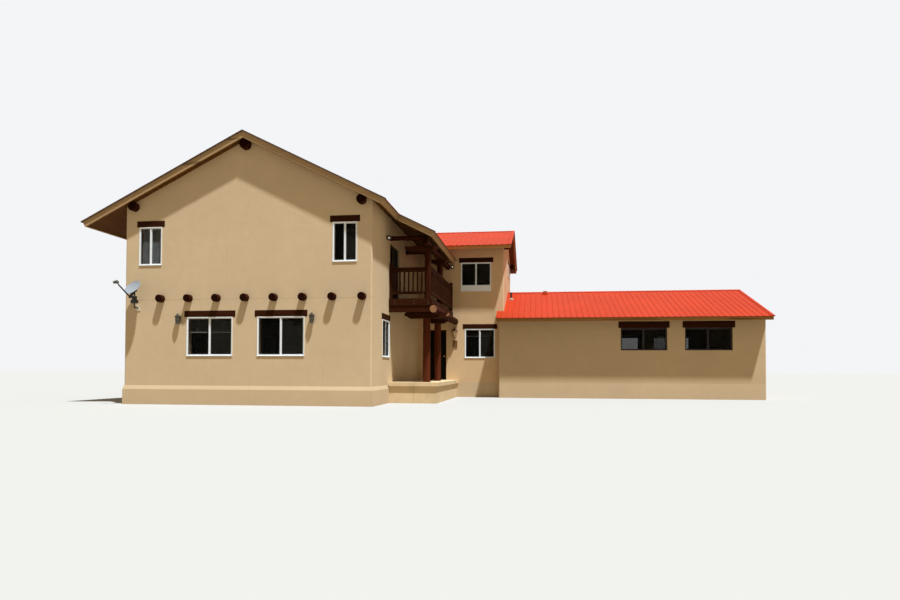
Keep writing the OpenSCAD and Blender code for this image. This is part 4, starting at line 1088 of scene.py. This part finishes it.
def door_details():
    b = Builder()
    x0, z0 = 4.302, 0.727
    stile, width, inset = 0.12, 0.91, 0.05
    half = (width - 3 * stile) / 4
    for r0, r1 in ((0.22, 0.82), (1.0, 1.86)):
        for col in (0, 1):
            mid = x0 + stile + col * (width - stile) / 2 + half
            for face, s in ((7.665, -1), (7.710, 1)):
                w = Place((mid, face, z0), (0, s, 0))
                h, k = half - inset, half - 2 * inset
                w.rim(b, -half, half, r0, r1, -0.012, -0.001, 0.012)
                w.rim(b, -h, h, r0 + inset, r1 - inset, -0.0121, -0.009, inset)
                w.bar(b, (-k, k), (-0.013, -0.0085), (r0 + 2 * inset, r1 - 2 * inset),
                      chamfer=0.002)
    b.make("door_mouldings", ["door"], "door_paint", body="door_leaf")

    b = Builder()
    b.box((4.297, 7.60, 0.7195), (5.217, 7.70, 0.7225))
    for i in range(4):
        b.box((4.297, 7.612 + 0.022 * i, 0.722), (5.217, 7.620 + 0.022 * i, 0.7245))
    b.make("door_threshold", ["brass"], "old_brass", bevel=0.0008)


door_details()


# Lights, plaque, dish and vents

def jar_details():
    """Threaded neck, rolled rims, finial, belt and two screws of each jar light."""
    b = Builder()
    for x, y in JARS:
        for z in (2.728, 2.740, 2.752):
            b.hoop((x, y, z), UP, 0.0745, 0.0035, mat=1)
        b.hoop((x, y, 2.762), UP, 0.084, 0.006)
        b.hoop((x, y, 2.536), UP, 0.057, 0.005, mat=1)
        b.lathe((x, y, 2.838), UP,
                [(0.028, -0.002), (0.030, 0.004), (0.014, 0.012), (0.014, 0.020), (0.006, 0.026)])
        b.lathe((x, y, 2.64), UP,
                [(0.071, -0.008), (0.0735, -0.006), (0.0740, 0.006), (0.0715, 0.008)], mat=1)
        for s in (-1, 1):
            b.lathe((x + s * 0.032, -0.030, 2.70), OUT,
                    [(0.007, -0.002), (0.007, 0.002), (0.003, 0.004)], 12)
    b.make("jar_light_details", ["lamp_metal", "jar"], "light_metal", smooth=50)


def flood_details():
    """Reflector, lamp, rim bead, knuckle and cooling fins of the two flood lights."""
    b = Builder()
    tip = math.radians(20)
    axis = Vector((0, -math.cos(tip), -math.sin(tip)))
    for pivot in (Vector((4.15, 1.89, 5.515)), Vector((5.532, 7.40, 5.395))):
        b.lathe(pivot, axis, [(0.0655, 0.111), (0.0655, 0.114), (0.056, 0.117), (0.034, 0.1185),
                              (0.010, 0.119)], mat=2)
        b.lathe(pivot, axis, [(0.030, 0.117), (0.029, 0.120), (0.022, 0.124), (0.008, 0.1265)],
                20, 1)
        b.hoop(pivot + axis * 0.1235, axis, 0.078, 0.007)
        b.hoop(pivot + axis * 0.045, axis, 0.039, 0.004)
        for h in (0.056, 0.066, 0.076):
            b.hoop(pivot + axis * h, axis, 0.036 + (h - 0.04) * 0.65, 0.003)
    b.make("flood_light_details", ["lamp_metal", "lens", "reflector"], "light_metal", smooth=50)


def lantern_details():
    """Corner bars, bands, roof ribs and finial of the six-sided lantern."""
    b = Builder()
    cx, cy = LANTERN
    z0, z1, r0, r1 = 2.445, 2.715, 0.065, 0.110
    turns = [math.radians(60 * i) for i in range(6)]
    for t in turns:
        c, s = math.cos(t), math.sin(t)
        side = Vector((-s, c, 0)) * 0.007
        for ends in (((r0, z0 - 0.004), (r1, z1)), ((0.138, z1 + 0.004), (0.034, 2.822))):
            rings = []
            for r, z in ends:
                inner, outer = [Vector((cx + c * (r + k), cy + s * (r + k), z))
                                for k in (-0.006, 0.005)]
                rings.append([inner - side, outer - side * 0.5, outer + side * 0.5, inner + side])
            b.prism(*rings)
    for r, z in ((r0 + 0.001, z0), (r1 + 0.001, z1 - 0.006)):
        b.prism(*[[(cx + math.cos(t) * r, cy + math.sin(t) * r, z + h) for t in turns]
                  for h in (-0.007, 0.007)])
    b.lathe((cx, cy, z0), (0, 0, -1),
            [(0.045, 0.0), (0.030, 0.012), (0.012, 0.020), (0.014, 0.030), (0.004, 0.040)])
    b.hoop((cx, cy, 2.88), UP, 0.016, 0.007, 20)
    b.make("lantern_details", ["lantern"], "light_metal", smooth=35)

    b = Builder()
    b.lathe((cx, cy - 0.002, 2.55), UP,
            [(0.088, 0.0), (0.094, 0.02), (0.100, 0.06), (0.098, 0.075)], 6)
    b.make("lantern_glow", ["lantern_glass"], "light_metal")


def plaque_details():
    """Raised rim and two screws of the bare plaque."""
    b = Builder()
    w = Place((5.622, 7.48, 2.039), OUT)
    for u, z in (((-0.093, -0.079), (0.0, 0.29)), ((0.079, 0.093), (0.0, 0.29)),
                 ((-0.079, 0.079), (0.0, 0.014)), ((-0.079, 0.079), (0.276, 0.29))):
        w.bar(b, u, (-0.002, 0.006), z, chamfer=0.003)
    for z in (0.03, 0.26):
        b.lathe(w.point(0, 0, z), OUT, [(0.006, -0.002), (0.006, 0.002), (0.002, 0.004)], 12, 1)
    b.make("plaque_details", ["plaque", "brass"], "plaque")


def dish_details():
    """Rolled rim of the bowl, and the bolts, clamps, arm sleeve and pick-up heads behind it."""
    def at(x, y, z):
        return DISH_AT + DISH_TURN @ Vector((x, y, z))

    axis = DISH_TURN @ Vector(UP)
    b = Builder()
    b.hoop(at(0, 0, 0.059), axis, 0.274, 0.0055, 48)
    for x, y in corners(-0.03, 0.03, -0.03, 0.03):
        b.lathe(at(x, y, 0.004), axis, [(0.008, -0.002), (0.008, 0.008), (0.004, 0.011)], 12)
    b.make("dish_rim", ["dish"], "dish_grey", smooth=50)

    b = Builder()
    lean = DISH_TURN @ (Matrix.Rotation(math.radians(-25), 3, "X") @ Vector(UP))
    across = DISH_TURN @ Vector((1, 0, 0))
    rise = lean.cross(across)
    foot = at(0, -0.30, 0.545)
    b.lathe(foot, lean, [(0.040, 0.080), (0.043, 0.086), (0.036, 0.094), (0.012, 0.097)], mat=1)
    b.hoop(foot + lean * 0.030, lean, 0.036, 0.004)
    mx, my = MAST_AT
    for x in (-0.05, 0.05):
        for z in (-0.07, 0.07):
            b.lathe((mx + x, -0.014, 3.055 + z), OUT,
                    [(0.009, -0.002), (0.009, 0.006), (0.004, 0.009)], 6)
    for x in (-0.085, 0.085):
        b.lathe((mx + x, -0.25, 3.235), OUT, [(0.012, -0.002), (0.012, 0.008), (0.005, 0.012)], 6)
    for z in (3.18, 3.30):
        b.hoop((mx, my, z), UP, 0.024, 0.006)
    b.lathe((mx, my, 3.19), UP, [(0.034, 0.0), (0.040, 0.01), (0.040, 0.09), (0.034, 0.10)], 20)
    b.lathe(at(0, -0.30, -0.05), axis,
            [(0.018, 0.0), (0.022, 0.006), (0.022, 0.52), (0.018, 0.535)], 16)
    head = ((0.6, -0.032), (0.95, -0.02), (1, 0.025), (1.12, 0.036), (1.08, 0.044), (0.5, 0.050))
    for u, r in ((-0.105, 0.034), (-0.03, 0.040), (0.045, 0.032)):
        b.lathe(foot + across * u + lean * 0.02, lean, [(r * k, h) for k, h in head], 20, 2)
    plate = corners(-0.125, 0.06, -0.022, 0.022)
    b.prism(*[[foot + across * u + rise * v + lean * h for u, v in plate]
              for h in (-0.006, 0.03)], 2)
    b.make("dish_bracket_details", ["dish_dark", "dish", "pick_up"], "dish_grey", smooth=50)


def vent_details():
    """Flashings that follow the slope, a boot round the pipe and a hood over the low vent."""
    b = Builder()
    for (x, y), r, size, mat in ((PIPE, 0.045, 0.10, 1), (LOW_VENT, 0.085, 0.14, 2)):
        y0, y1 = y - size, min(y + size, WING_MID_Y - CAP_W - 0.005)
        ring = corners(x - size, x + size, y0, y1)
        b.prism(*[[(p, q, wing_top(q) + h) for p, q in ring] for h in (-0.020, 0.0025)], mat)
        b.lathe((x, y, wing_top(y)), UP,
                [(r + 0.045, -0.012), (r + 0.040, 0.006), (r + 0.006, 0.045), (r, 0.055)], mat=mat)
    b.hoop((*PIPE, wing_top(PIPE[1]) + 0.296), UP, 0.042, 0.004)
    b.lathe((*LOW_VENT, wing_top(LOW_VENT[1]) + 0.09), UP,
            [(0.100, 0.0), (0.106, 0.004), (0.100, 0.012), (0.040, 0.030), (0.010, 0.033)], mat=1)
    b.make("vent_details", ["vent", "vent_white", "red"], "vent_metal", smooth=40)


jar_details()
flood_details()
lantern_details()
plaque_details()
dish_details()
vent_details()


# Camera, light and stage

camera_data = bpy.data.cameras.new("camera")
camera = bpy.data.objects.new("camera", camera_data)
bpy.context.scene.collection.objects.link(camera)
turn = Matrix.Translation((9.045, -19.0, 1.124))
for degrees, axis in ((7.807, "Z"), (90 + 1.259, "X"), (0.181, "Z")):
    turn = turn @ Matrix.Rotation(math.radians(degrees), 4, axis)
camera.matrix_world = turn
camera_data.sensor_width = 36
camera_data.lens = 25.83
camera_data.shift_y = 0.0616
camera_data.clip_end = 500
bpy.context.scene.camera = camera

sun_data = bpy.data.lights.new("sun", "SUN")
sun_data.energy = 5.85
sun_data.angle = math.radians(2.0)
sun_data.color = (0.95, 0.98, 1.0)
sun = bpy.data.objects.new("sun", sun_data)
sun.rotation_euler = Vector((1.08, -1.0, 3.92)).to_track_quat("Z", "Y").to_euler()
bpy.context.scene.collection.objects.link(sun)


def studio_world():
    """Soft fill from all sides, and a plain pale background for what the camera and gloss see."""
    world = bpy.data.worlds.new("studio")
    bpy.context.scene.world = world
    world.use_nodes = True
    tree = world.node_tree
    shown = tree.nodes["Background"]
    shown.inputs[0].default_value = (0.90, 0.91, 0.93, 1)
    shown.inputs[1].default_value = 1.0
    fill = tree.nodes.new("ShaderNodeBackground")
    fill.inputs[0].default_value = (0.98, 0.85, 0.64, 1)
    fill.inputs[1].default_value = 0.33
    path = tree.nodes.new("ShaderNodeLightPath")
    seen = path.outputs["Is Camera Ray"]
    for name in ("Is Glossy Ray", "Is Transmission Ray"):
        either = tree.nodes.new("ShaderNodeMath")
        either.operation = "MAXIMUM"
        tree.links.new(seen, either.inputs[0])
        tree.links.new(path.outputs[name], either.inputs[1])
        seen = either.outputs[0]
    mixer = tree.nodes.new("ShaderNodeMixShader")
    tree.links.new(seen, mixer.inputs[0])
    tree.links.new(fill.outputs[0], mixer.inputs[1])
    tree.links.new(shown.outputs[0], mixer.inputs[2])
    tree.links.new(mixer.outputs[0], tree.nodes["World Output"].inputs[0])


def studio_floor():
    """Pale to the camera, and a little darker and warmer in the light that it throws back."""
    g = Graph("studio_floor")
    rays = g.node("LightPath").outputs
    seen = g.math("MAXIMUM", rays["Is Camera Ray"], rays["Is Glossy Ray"])
    g.colour(g.mix(seen, (0.33, 0.27, 0.19), (0.45, 0.45, 0.44)))
    g.rough(0.95)
    g.specular(0.0)
    bpy.ops.mesh.primitive_plane_add(size=600, location=(6, 6, -0.002))
    floor = bpy.context.object
    floor.name = "studio_floor"
    floor.data.materials.append(g.mat)


studio_world()
studio_floor()

bpy.context.scene.view_settings.view_transform = "Standard"
